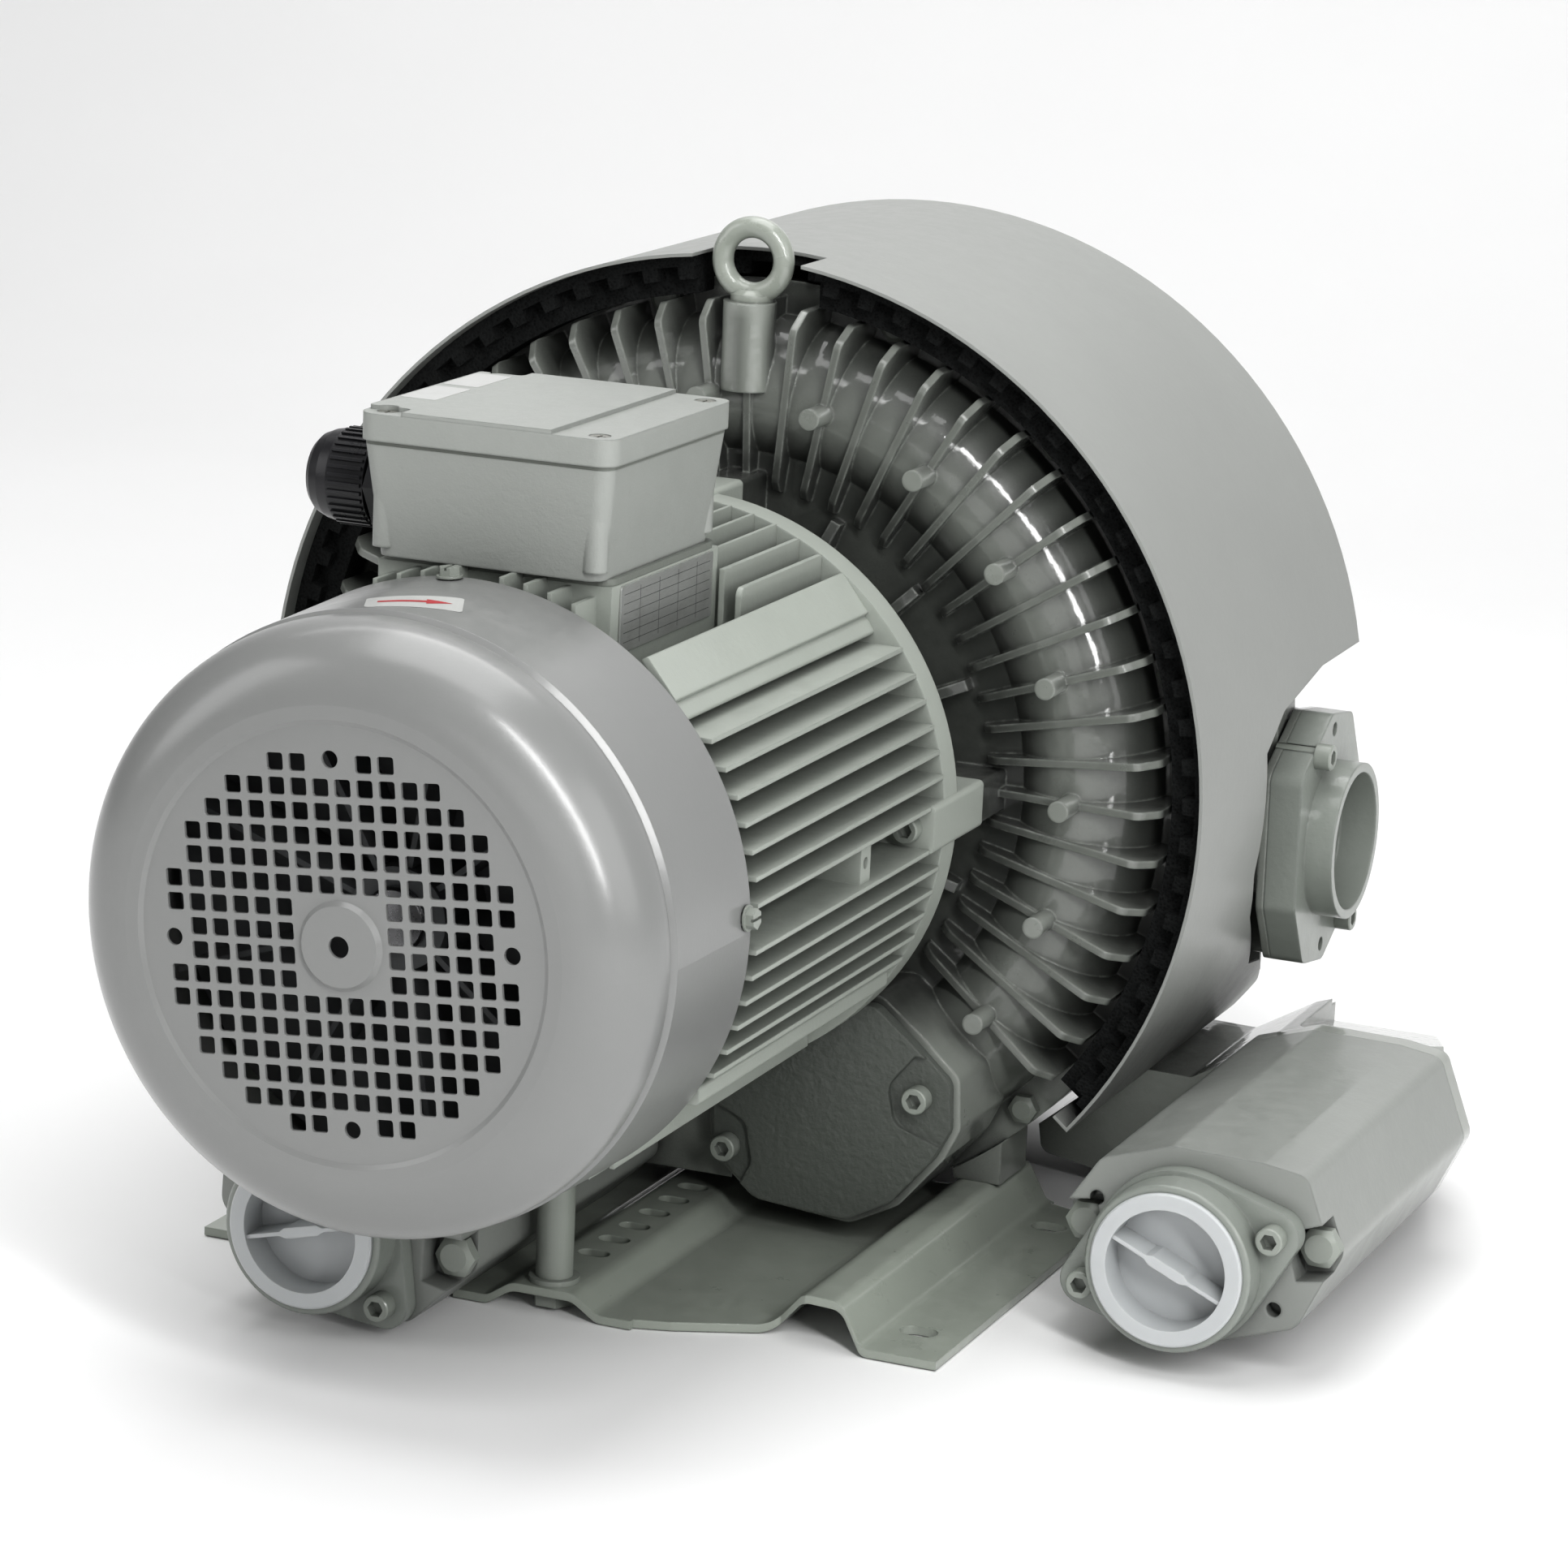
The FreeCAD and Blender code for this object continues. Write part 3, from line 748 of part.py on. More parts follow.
# notch for the lifting eye in the front edge, and the opening round the side port
cut_y(b, rpoly([(-24, 225), (30, 225), (30, 245), (-24, 245)]), 370.0, 409.0, name="EyeNotch")
cut_x(b, rpoly([(472, 15, 0), (500, 30, 14), (562, 40, 8), (640, 41), (640, -152), (618, -136, 6), (576, -114, 8), (548, -109, 8), (495, -71, 12), (476, -45, 10)]), 170.0, 250.0, name="SidePortOpening")
place(b, "noise_hood")

# foam lining with its square ribs
def toothed(ro, ri, rt, a0, a1, n):
    pts = []
    st = (a1 - a0) / n
    items = [pol(ri, a0)]
    for k in range(n):
        a = a0 + k * st
        items += [pol(ri, a + st * 0.28), pol(rt, a + st * 0.30), pol(rt, a + st * 0.70), pol(ri, a + st * 0.72)]
    items += [pol(ri, a1), pol(ro, a1), ("a", pol(ro, (a0 + a1) / 2), pol(ro, a0)), pol(ri, a0)]
    return path(items)
b = prism_y("hood_foam_lining", toothed(hr_ - ht - 0.1, 230.0, 224.0, 13.0, 215.0, 44), 388.0, 612.0)
# lining in front of the side port, and the collar that closes the front against the casing
add_y(b, toothed(hr_ - ht - 0.1, 230.0, 224.0, -38.0, 13.05, 11), 388.0, 470.0, name="LowerLining")
add_y(b, arcband(230.5, 216.8, -38.0, 215.0), 395.0, 411.0, name="FrontCollar")
cut_y(b, rect(-27, 214, 33, 240), 386.0, 413.0, name="EyeClear")
place(b, "hood_foam_lining")

def panel_outline(r):
    return path([pol(r, -38.0), ("a", pol(r, 90), pol(r, 218.0)), pol(r, -38.0)])
b = prism_y("hood_rear_panel", panel_outline(hr_ - ht - 0.05), 613.2, 615.2)
s = sketch(b, "XZ_Plane", rpoly([(84, -3, 2.9), (146, -3, 2.9), (146, 3, 2.9), (84, 3, 2.9)]), off=-612.0, name="vent_outline")
vp = pocket(b, s, 5.0, rev=False, name="VentSlot")
polar(b, vp, 40, name="VentSlots")
cut = []
for a in range(-20, 205, 6):
    p = [rot2(186, -2.6, a), rot2(214, -2.6, a), rot2(214, 2.6, a), rot2(186, 2.6, a)]
    if not (-36 < a < 12):
        cut += rpoly([q + (2.5,) for q in p])
cut_y(b, cut, 612.0, 617.0, name="OuterSlots")
scr_a = [0.2 + k * 360.0 / 19 for k in (1, 4, 7, 9, 11)]
cut_y(b, sum([circ(pol(172, a)[0], pol(172, a)[1], 3.3) for a in scr_a], []), 612.0, 617.0, name="PanelHoles")
cut_x(b, rect(600, -140, 626, 45), 196.0, 250.0, name="SidePortClear")
place(b, "hood_rear_panel")
group("hood_panel_screws", [hex_bolt((pol(172, a)[0], 615.2, pol(172, a)[1]), (0, 1, 0), 6, 2.0, 10, 4) for a in scr_a])

# ---------------------------------------------------------------- ports
def diamond(cx, cz, R, r, d, phi):
    al = math.acos((R - r) / d); c, s_ = math.cos(al), math.sin(al)
    pt = lambda x, y: rot2(x, y, phi, cx, cz)
    return path([pt(R * c, R * s_), pt(d + r * c, r * s_), ("a", pt(d + r, 0), pt(d + r * c, -r * s_)), pt(R * c, -R * s_), ("a", pt(0, -R), pt(-R * c, -R * s_)),
                 pt(-d - r * c, -r * s_), ("a", pt(-d - r, 0), pt(-d - r * c, r * s_)), pt(-R * c, R * s_), ("a", pt(0, R), pt(R * c, R * s_))])

# side port flange with its hose stub
b = new_body("side_port_flange")
s = sketch(b, "YZ_Plane", rpoly(side_outline), off=P["side_x"] - P["side_thk"], name="plate_outline", expr="Params.side_x - Params.side_thk")
pad(b, s, P["side_thk"], expr="Params.side_thk")
add_x(b, circ(P["side_y"], P["side_z"], P["stub_rad"]), P["side_x"] - 0.5, P["side_x"] + P["side_stub"], name="Stub")
cut_x(b, circ(P["side_y"], P["side_z"], P["port_bore"] - 1.0), P["side_x"] - 20, P["side_x"] + 20, name="Bore")
cut_x(b, circ(P["side_y"], P["side_z"], P["port_bore"] + 1.5), P["side_x"] - 4, P["side_x"] + 20, name="StubBore")
cut_x(b, circ(*SIDE_SCREWS[0], 4.3) + circ(*SIDE_SCREWS[1], 4.3) + circ(*SIDE_HOLES[0], 3.4) + circ(*SIDE_HOLES[1], 3.4), P["side_x"] - 20, P["side_x"] + 3, name="FlangeHoles")
place(b, "side_port_flange")
group("side_port_flange_screws", [socket_screw((P["side_x"], y, z), (1, 0, 0), 8, 20) for y, z in SIDE_SCREWS])

SIL = [(-34, 43, 8), (0, 43, 8), (40, 29, 8), (58, 20, 7), (60, -20, 8), (36, -46, 10), (-28, -47, 12), (-60, -10, 10), (-60, 22, 8)]
def local(cx, cz, th, pts):
    return [rot2(p[0], p[1], th, cx, cz) + tuple(p[2:]) for p in pts]
def silencer(label, cx, cz, th, front, rear_hole, fl_phi, hole_phi):
    L = P["sil_len"]
    pc = rot2(-6.4, -5.3, th, cx, cz)
    b = prism_y(label, rpoly(local(cx, cz, th, SIL)), front, front + L, elen="Params.sil_len")
    cut_y(b, circ(cx, cz, P["sil_bore"]), front + 8, front + L - 8, name="Chamber")
    cut_y(b, circ(pc[0], pc[1], 30.5), front - 1, front + 9, name="PortHole")
    cut_y(b, circ(rear_hole[0], rear_hole[1], 29.5), front + L - 9, front + L + 1, name="RearHole")
    bolts = [rot2(52.2, -14, th, cx, cz), rot2(-52.2, 14, th, cx, cz)]
    cut_y(b, circ(bolts[0][0], bolts[0][1], 5.4) + circ(bolts[1][0], bolts[1][1], 5.4), front - 1, front + L + 1, name="BoltBores")
    cut_y(b, rpoly(local(cx, cz, th, [(41.0, -25), (66, -29), (66, -2), (41, -3, 3)])) + rpoly(local(cx, cz, th, [(-66, 2), (-41, 3, 3), (-41.0, 25), (-66, 29)])), front - 1, front + 16, name="HeadNotches")
    fs = [rot2(46, 0, th + fl_phi, *pc), rot2(-46, 0, th + fl_phi, *pc)]
    th_ = [rot2(46, 0, th + hole_phi, *pc), rot2(-46, 0, th + hole_phi, *pc)]
    cut_y(b, circ(*th_[0], 3.4) + circ(*th_[1], 3.4) + circ(*fs[0], 4.0) + circ(*fs[1], 4.0), front - 1, front + 7.9, name="FaceHoles")
    place(b, label)
    return dict(pc=pc, bolts=bolts, fs=fs, front=front, phi=th + fl_phi, c=(cx, cz))
ZL = silencer("inlet_silencer_body", P["sil_x"], P["sil_z"], -3.0, P["sil_front"], (-72.0, -157.0), -42.0, 4.0)
ZR = silencer("outlet_silencer_body", P["out_x"], P["out_z"], 18.0, P["out_front"], (P["out_x"], P["out_z"]), 4.0, -42.0)

def port_flange(S):
    f0 = S["front"] - P["pflange_thk"]
    pl = solid(diamond(S["pc"][0], S["pc"][1], 40.0, 11.5, 46.0, S["phi"]), "y", f0, P["pflange_thk"])
    st = Part.makeCylinder(P["stub_rad"], P["stub_len"] + 1, V(S["pc"][0], f0 - P["stub_len"], S["pc"][1]), V(0, 1, 0))
    edge = [e for e in st.Edges if e.Curve.TypeId == "Part::GeomCircle" and abs(e.Curve.Center.y - (f0 - P["stub_len"])) < 1e-6]
    st = st.makeFillet(1.2, edge)
    g = pl.fuse(st).cut(Part.makeCylinder(P["port_bore"], 40, V(S["pc"][0], f0 - 20, S["pc"][1]), V(0, 1, 0)))
    for p in S["fs"]:
        g = g.cut(cyl((p[0], f0 - 1, p[1]), (0, 1, 0), 4.3, 12))
    return g.removeSplitter()
group("silencer_port_flanges", [port_flange(ZL), port_flange(ZR)])
group("silencer_flange_screws", [socket_screw((p[0], S["front"] - P["pflange_thk"], p[1]), (0, -1, 0), 8, 16) for S in (ZL, ZR) for p in S["fs"]])
group("silencer_long_bolts", [hex_bolt((p[0], S["front"] + 14.0, p[1]), (0, -1, 0), 10, P["sil_len"] - 14 + (24 if S is ZL else 9.5), 17, 7) for S in (ZL, ZR) for p in S["bolts"]])
def absorber(S):
    y0_ = S["front"] + 9.0
    o = Part.makeCylinder(P["sil_bore"] - 0.1, P["sil_len"] - 18, V(S["c"][0], y0_, S["c"][1]), V(0, 1, 0))
    return o.cut(Part.makeCylinder(31.5, P["sil_len"], V(S["c"][0], y0_ - 5, S["c"][1]), V(0, 1, 0)))
group("silencer_absorber_tubes", [absorber(ZL), absorber(ZR)])

def plug(label, S, web_deg):
    """Transport plug: collar, thin cup wall, membrane and a web across the mouth."""
    yf = S["front"] - P["pflange_thk"] - P["stub_len"]          # front of the stub
    cx, cz = S["pc"]
    w = Part.Wire([g.toShape() for g in path([(0, 14), (27.4, 14), (27.4, -2.4), (34.0, -2.4), (34.8, -1.6), (34.8, -0.05), (31.6, -0.05), (31.0, 22), (29.6, 22), (29.0, 15.6), (0, 15.6)])])
    cup = Part.Face(w).revolve(V(0, 0, 0), V(0, 1, 0), 360)
    web = solid(rpoly([(-27.9, -0.9), (-11, -0.9), (-8, -2.4, 1), (8, -2.4, 1), (11, -0.9), (27.9, -0.9), (27.9, 0.9), (11, 0.9), (8, 2.4, 1), (-8, 2.4, 1), (-11, 0.9), (-27.9, 0.9)]), "y", -1.0, 15.5)
    g = cup.fuse(web).removeSplitter()
    g.rotate(V(0, 0, 0), V(0, 1, 0), web_deg)
    g.translate(V(cx, yf, cz))
    group(label, [g])
plug("inlet_transport_plug", ZL, -14.0)
plug("outlet_transport_plug", ZR, 24.0)

# outlet duct from the lower right of the rear casing to the outlet silencer
b = prism_y("outlet_duct", rpoly(local(P["out_x"], P["out_z"], 18.0, SIL)), 490.0, 501.0)
duct = [(124.0, -191.5, 0), (167.0, -155.0, 0), (200, -156, 6), (232, -137, 12), (258, -128, 12), (298, -128, 14), (322, -142, 14), (327, -160, 14), (318, -184, 16), (296, -202, 14), (240, -209, 18), (160, -211, 16), (126, -205, 6)]
add_y(b, rpoly(duct), 500.5, 596.0, name="DuctBody")
inset = [(p[0] + (229 - p[0]) * 0.06, p[1] + (-162 - p[1]) * 0.12, p[2]) for p in duct]
add_y(b, rpoly(inset), 595.5, 602.0, name="DuctBack")
# outer side and top fall away towards the rear
cut_z(b, rpoly([(326, 503), (345, 503), (345, 612), (289, 612)]), -240.0, -100.0, name="DuctSideSlope")
cut_x(b, rpoly([(503, -126), (612, -149), (612, -90), (503, -90)]), 240.0, 345.0, name="DuctTopSlope")
cav = [(215, -160, 6), (240, -150, 8), (262, -146, 8), (282, -146, 8), (298, -156, 8), (298, -178, 8), (284, -193, 8), (240, -200, 8), (215, -200, 6)]
cut_y(b, rpoly(cav), 508.0, 560.0, name="DuctCavityFront")
cav = [(140, -191, 0), (170, -165, 0), (204, -164, 6), (232, -160, 8), (256, -157, 8), (256, -196, 10), (240, -200, 8), (160, -203, 12), (144, -200, 3)]
cut_y(b, rpoly(cav), 540.0, 590.0, name="DuctCavityRear")
cut_y(b, circ(P["out_x"], P["out_z"], 29.5), 489.0, 509.0, name="DuctInlet")
bb = ZR["bolts"]
cut_y(b, circ(bb[0][0], bb[0][1], 5.0) + circ(bb[1][0], bb[1][1], 5.0), 489.0, 499.6, name="DuctBoltHoles")
# opening towards the port in the rim of the rear casing
cut_y(b, rpoly([rot2(224, -15, -50), rot2(242, -15, -50), rot2(242, 15, -50), rot2(224, 15, -50)]), 571.0, 590.0, name="DuctPassage")
place(b, "outlet_duct")

# ================================================================ check and write
doc.recompute()
bad = [(o.Name, o.State) for o in doc.Objects if "Invalid" in o.State or "Error" in o.State]
if bad:
    raise RuntimeError("failed objects: %s" % bad)
os.makedirs("parts", exist_ok=True)
for fn in os.listdir("parts"):
    if fn.endswith(".step"):
        os.remove(os.path.join("parts", fn))
names = [n for n, o in NODES]
assert len(names) == len(set(names)), "duplicate labels"
for label, o in NODES:
    sh = o.Shape
    if sh.isNull() or not sh.isValid():
        raise RuntimeError("bad shape: " + label)
for label, o in NODES:
    o.Shape.exportStep("parts/%s.step" % label)
print(len(NODES), "nodes", sum(len(o.Shape.Solids) for n, o in NODES), "solids", round(sum(o.Shape.Volume for n, o in NODES) / 1e6, 2), "litres")
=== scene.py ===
import bpy, bmesh, math
from mathutils import Matrix, Vector


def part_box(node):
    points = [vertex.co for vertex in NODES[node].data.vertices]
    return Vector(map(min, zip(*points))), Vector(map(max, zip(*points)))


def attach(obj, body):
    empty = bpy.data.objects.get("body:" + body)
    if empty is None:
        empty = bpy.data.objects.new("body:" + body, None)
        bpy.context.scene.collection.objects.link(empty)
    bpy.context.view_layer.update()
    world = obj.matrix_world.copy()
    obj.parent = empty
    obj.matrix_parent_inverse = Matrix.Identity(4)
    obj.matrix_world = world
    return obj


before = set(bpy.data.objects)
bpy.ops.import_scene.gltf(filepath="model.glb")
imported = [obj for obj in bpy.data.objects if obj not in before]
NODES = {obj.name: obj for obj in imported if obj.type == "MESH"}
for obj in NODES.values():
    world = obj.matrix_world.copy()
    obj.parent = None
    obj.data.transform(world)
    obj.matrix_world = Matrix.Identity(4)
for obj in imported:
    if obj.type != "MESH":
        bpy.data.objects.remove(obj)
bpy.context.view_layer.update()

# machine coordinates (mm, motor axis as Y, cowl face at 0) to the part frame in metres
def W(x, y, z):
    return Vector((x / 1000.0, (y - 335.0) / 1000.0, (z + 218.0) / 1000.0))

# ------------------------------------------------------------------ material tools
def lin(r, g, b):
    f = lambda c: (c / 255.0) / 12.92 if c <= 10.3 else (((c / 255.0) + 0.055) / 1.055) ** 2.4
    return (f(r), f(g), f(b), 1.0)

class Mat:
    def __init__(self, name):
        self.m = bpy.data.materials.new(name)
        self.m.use_nodes = True
        self.nt = self.m.node_tree
        self.nt.nodes.clear()
        self.out = self.n("ShaderNodeOutputMaterial")
        self.b = self.n("ShaderNodeBsdfPrincipled")
        self.l(self.b.outputs["BSDF"], self.out.inputs["Surface"])
        tc = self.n("ShaderNodeTexCoord")
        self.vec = tc.outputs["Object"]
        self.geo = self.n("ShaderNodeNewGeometry")
    def n(self, t, **kw):
        nd = self.nt.nodes.new(t)
        for k, v in kw.items():
            setattr(nd, k, v)
        return nd
    def l(self, a, b):
        self.nt.links.new(a, b)
    def set(self, **kw):
        for k, v in kw.items():
            self.b.inputs[k.replace("_", " ")].default_value = v
    def noise(self, scale, detail=3.0, rough=0.55, vec=None, dist=0.0):
        t = self.n("ShaderNodeTexNoise")
        t.inputs["Scale"].default_value = scale
        t.inputs["Detail"].default_value = detail
        t.inputs["Roughness"].default_value = rough
        t.inputs["Distortion"].default_value = dist
        self.l(vec or self.vec, t.inputs["Vector"])
        return t.outputs["Fac"]
    def voronoi(self, scale, feature="F1", vec=None):
        t = self.n("ShaderNodeTexVoronoi", feature=feature)
        t.inputs["Scale"].default_value = scale
        self.l(vec or self.vec, t.inputs["Vector"])
        return t.outputs["Distance"]
    def rng(self, v, a, b, c, d, clamp=True):
        t = self.n("ShaderNodeMapRange", clamp=clamp)
        t.inputs["From Min"].default_value = a
        t.inputs["From Max"].default_value = b
        t.inputs["To Min"].default_value = c
        t.inputs["To Max"].default_value = d
        self.l(v, t.inputs["Value"])
        return t.outputs["Result"]
    def math(self, op, a, b=None, clamp=False):
        t = self.n("ShaderNodeMath", operation=op, use_clamp=clamp)
        for i, x in enumerate((a, b)):
            if x is None:
                continue
            if isinstance(x, (int, float)):
                t.inputs[i].default_value = x
            else:
                self.l(x, t.inputs[i])
        return t.outputs[0]
    def mix(self, fac, a, b, blend="MIX"):
        t = self.n("ShaderNodeMix", data_type="RGBA", blend_type=blend)
        if isinstance(fac, (int, float)):
            t.inputs[0].default_value = fac
        else:
            self.l(fac, t.inputs[0])
        for i, x in ((6, a), (7, b)):
            if isinstance(x, tuple):
                t.inputs[i].default_value = x
            else:
                self.l(x, t.inputs[i])
        return t.outputs[2]
    def bump(self, h, strength, dist, normal=None):
        t = self.n("ShaderNodeBump")
        t.inputs["Strength"].default_value = strength
        t.inputs["Distance"].default_value = dist
        self.l(h, t.inputs["Height"])
        if normal is not None:
            self.l(normal, t.inputs["Normal"])
        return t.outputs["Normal"]
    def bevel(self, radius, samples=4):
        t = self.n("ShaderNodeBevel", samples=samples)
        t.inputs["Radius"].default_value = radius
        return t.outputs["Normal"]
    def edge(self, bn, lo=0.03, hi=0.22):
        """1 near sharp edges: where the rounded normal leaves the flat one."""
        d = self.n("ShaderNodeVectorMath", operation="DOT_PRODUCT")
        self.l(bn, d.inputs[0]); self.l(self.geo.outputs["Normal"], d.inputs[1])
        inv = self.math("SUBTRACT", 1.0, d.outputs["Value"])
        return self.rng(inv, lo, hi, 0.0, 1.0)
    def up(self):
        s = self.n("ShaderNodeSeparateXYZ")
        self.l(self.geo.outputs["Normal"], s.inputs[0])
        return s.outputs["Z"]
    def from_axis(self):
        """Distance from the motor axis, in metres."""
        s = self.n("ShaderNodeSeparateXYZ")
        self.l(self.vec, s.inputs[0])
        z = self.math("SUBTRACT", s.outputs["Z"], 0.218)
        return self.math("SQRT", self.math("ADD", self.math("MULTIPLY", s.outputs["X"], s.outputs["X"]), self.math("MULTIPLY", z, z)))
    def across(self, bn):
        """1 where a face looks along the ring around the motor axis, as the sides of the radial fins do."""
        p = self.n("ShaderNodeVectorMath", operation="MULTIPLY_ADD")
        self.l(self.vec, p.inputs[0]); p.inputs[1].default_value = (1, 0, 1); p.inputs[2].default_value = (0, 0, -0.218)
        c = self.n("ShaderNodeVectorMath", operation="CROSS_PRODUCT")
        c.inputs[0].default_value = (0, 1, 0); self.l(p.outputs["Vector"], c.inputs[1])
        u = self.n("ShaderNodeVectorMath", operation="NORMALIZE"); self.l(c.outputs["Vector"], u.inputs[0])
        d = self.n("ShaderNodeVectorMath", operation="DOT_PRODUCT"); self.l(u.outputs["Vector"], d.inputs[0]); self.l(bn, d.inputs[1])
        return self.math("ABSOLUTE", d.outputs["Value"])
    def ao(self, dist, samples=6):
        t = self.n("ShaderNodeAmbientOcclusion", samples=samples)
        t.inputs["Distance"].default_value = dist
        return t.outputs["AO"]

def paint(name, rgb, rough=0.34, coat=0.25, coat_r=0.10, grain=0.5, peel=0.3, round_r=0.0012, wear_and_edge_highlight=0.5, dust=0.5, corner_shade=0.6, deep_shade=0.0, fine=900.0, recess_shade=None, peel_scale=260.0, channel_floor_shade=0.0, speck=0.30, mot=1.0):
    """Grey machine paint over a casting or a sheet."""
    M = Mat(name)
    base = lin(*rgb)
    k = lambda f: tuple(min(1.0, c * f) for c in base[:3]) + (1.0,)
    cloud = M.noise(7.0, 4.0, 0.6)
    mott = M.noise(55.0, 5.0, 0.65)
    col = M.mix(M.rng(cloud, 0.3, 0.7, 0.0, 1.0), k(0.955), k(1.02))
    col = M.mix(M.rng(mott, 0.35, 0.75, 0.0, 0.22 * mot), col, k(1.12))
    # tiny dark specks of dust caught in the paint
    spk = M.voronoi(420.0)
    col = M.mix(M.rng(spk, 0.035, 0.075, speck, 0.0), col, k(0.80))
    # painted shade: darker in corners and recesses, where nearby parts shade them, and rougher there too; far darker
    # still deep inside, also painted shade
    occ = M.ao(0.055, 4)
    corner_shade_mask = M.math("MULTIPLY", M.rng(occ, 0.30, 0.85, 1.0, 0.0), M.rng(mott, 0.3, 0.7, 0.6, 1.0))
    col = M.mix(M.math("MULTIPLY", corner_shade_mask, corner_shade), col, k(0.40))
    if deep_shade:
        col = M.mix(M.rng(occ, 0.10, 0.52, deep_shade, 0.0), col, k(0.10))
    # painted shade in the recess behind the motor, darkest towards the axis
    if recess_shade:
        col = M.mix(M.math("MULTIPLY", M.rng(M.from_axis(), recess_shade[0], recess_shade[1], recess_shade[2], 0.0), M.rng(mott, 0.25, 0.75, 0.85, 1.0)), col, k(0.10))
    n0 = M.bevel(round_r, 3)
    # painted shade on the channel wall between the fins; the fins themselves are left light
    if channel_floor_shade:
        channel_floor_shade_mask = M.math("MULTIPLY", M.rng(M.across(n0), 0.12, 0.60, channel_floor_shade, 0.0), M.rng(M.from_axis(), 0.130, 0.150, 0.0, 1.0))
        sy = M.n("ShaderNodeSeparateXYZ"); M.l(M.vec, sy.inputs[0])
        channel_floor_shade_mask = M.math("MULTIPLY", M.math("MULTIPLY", channel_floor_shade_mask, M.rng(sy.outputs["Y"], 0.028, 0.036, 0.0, 1.0)), M.rng(M.from_axis(), 0.208, 0.216, 1.0, 0.0))
        col = M.mix(M.math("MULTIPLY", channel_floor_shade_mask, M.rng(mott, 0.3, 0.7, 0.85, 1.0)), col, k(0.18))
    # edges lighter: paint pulled thin on the edges, and a painted highlight along them
    edge_wear_and_highlight = M.math("MULTIPLY", M.edge(n0), M.rng(M.noise(130.0, 3.0, 0.7), 0.42, 0.62, 0.2, 1.0))
    col = M.mix(M.math("MULTIPLY", edge_wear_and_highlight, wear_and_edge_highlight), col, k(1.40))
    # dust on faces that look up
    dz = M.math("MULTIPLY", M.rng(M.up(), 0.75, 1.0, 0.0, 1.0), M.rng(M.noise(90.0, 4.0, 0.7), 0.4, 0.75, 0.0, 1.0))
    col = M.mix(M.math("MULTIPLY", dz, 0.10 * dust), col, (0.80, 0.79, 0.76, 1.0))
    M.l(col, M.b.inputs["Base Color"])
    r = M.math("ADD", M.rng(mott, 0.3, 0.7, rough - 0.05 * mot, rough + 0.06 * mot), M.math("MULTIPLY", corner_shade_mask, 0.22))
    M.l(M.math("ADD", r, M.math("MULTIPLY", dz, 0.15), True), M.b.inputs["Roughness"])
    n1 = M.bump(M.noise(peel_scale, 2.0, 0.4), 0.25 * peel, 0.0006, n0)
    n2 = M.bump(M.noise(fine, 3.0, 0.6), 0.35 * grain, 0.0004, n1)
    M.l(n2, M.b.inputs["Normal"])
    M.set(Metallic=0.0, Coat_Weight=coat, Coat_Roughness=coat_r)
    M.l(n1, M.b.inputs["Coat Normal"])
    M.b.inputs["Specular IOR Level"].default_value = 0.5
    return M.m

def steel(name, rgb, rough=0.3, brush=(1, 1, 1), scale=600.0, round_r=0.0004, stain=0.3):
    M = Mat(name)
    base = lin(*rgb)
    mp = M.n("ShaderNodeMapping"); mp.inputs["Scale"].default_value = brush
    M.l(M.vec, mp.inputs["Vector"])
    ln = M.noise(scale, 5.0, 0.7, vec=mp.outputs["Vector"])
    col = M.mix(M.rng(ln, 0.3, 0.7, 0.0, 0.5), base, tuple(c * 0.7 for c in base[:3]) + (1.0,))
    st = M.rng(M.noise(70.0, 5.0, 0.65), 0.5, 0.75, 0.0, stain)
    col = M.mix(st, col, tuple(c * f for c, f in zip(base[:3], (0.55, 0.5, 0.43))) + (1.0,))
    n0 = M.bevel(round_r, 3)
    # edges lighter: rubbed bright edges, with a painted highlight along them
    col = M.mix(M.math("MULTIPLY", M.edge(n0), 0.5), col, tuple(min(1.0, c * 1.4) for c in base[:3]) + (1.0,))
    M.l(col, M.b.inputs["Base Color"])
    M.l(M.math("ADD", M.rng(ln, 0.3, 0.7, rough - 0.06, rough + 0.1), M.math("MULTIPLY", st, 0.3), True), M.b.inputs["Roughness"])
    M.l(M.bump(ln, 0.15, 0.0002, n0), M.b.inputs["Normal"])
    M.set(Metallic=1.0)
    return M.m

def plastic(name, rgb, rough=0.45, grain=0.4, fine=1400.0, round_r=0.0005, sss=0.0, trans=0.0, spread=0.12):
    M = Mat(name)
    base = lin(*rgb)
    cloud = M.noise(30.0, 4.0, 0.6)
    col = M.mix(M.rng(cloud, 0.3, 0.7, 0.0, 1.0), tuple(c * (1 - spread) for c in base[:3]) + (1.0,), base)
    # painted shade: darker in tight corners, where nearby parts shade them
    occ = M.rng(M.ao(0.010), 0.3, 0.95, 0.5, 0.0)
    col = M.mix(occ, col, tuple(c * 0.5 for c in base[:3]) + (1.0,))
    n0 = M.bevel(round_r, 3)
    # edges lighter: rubbed edges, with a painted highlight along them
    e = M.math("MULTIPLY", M.edge(n0), M.rng(M.noise(300.0, 3.0), 0.4, 0.6, 0.2, 1.0))
    col = M.mix(M.math("MULTIPLY", e, 0.35), col, tuple(min(1.0, c * 1.6 + 0.01) for c in base[:3]) + (1.0,))
    M.l(col, M.b.inputs["Base Color"])
    M.l(M.rng(M.noise(60.0, 4.0, 0.6), 0.3, 0.7, rough - 0.06, rough + 0.08), M.b.inputs["Roughness"])
    M.l(M.bump(M.noise(fine, 3.0, 0.55), 0.3 * grain, 0.0003, n0), M.b.inputs["Normal"])
    M.set(Subsurface_Weight=sss, Transmission_Weight=trans)
    if sss:
        M.b.inputs["Subsurface Radius"].default_value = (0.006, 0.006, 0.0055)
        M.b.inputs["Subsurface Scale"].default_value = 1.0
    return M.m
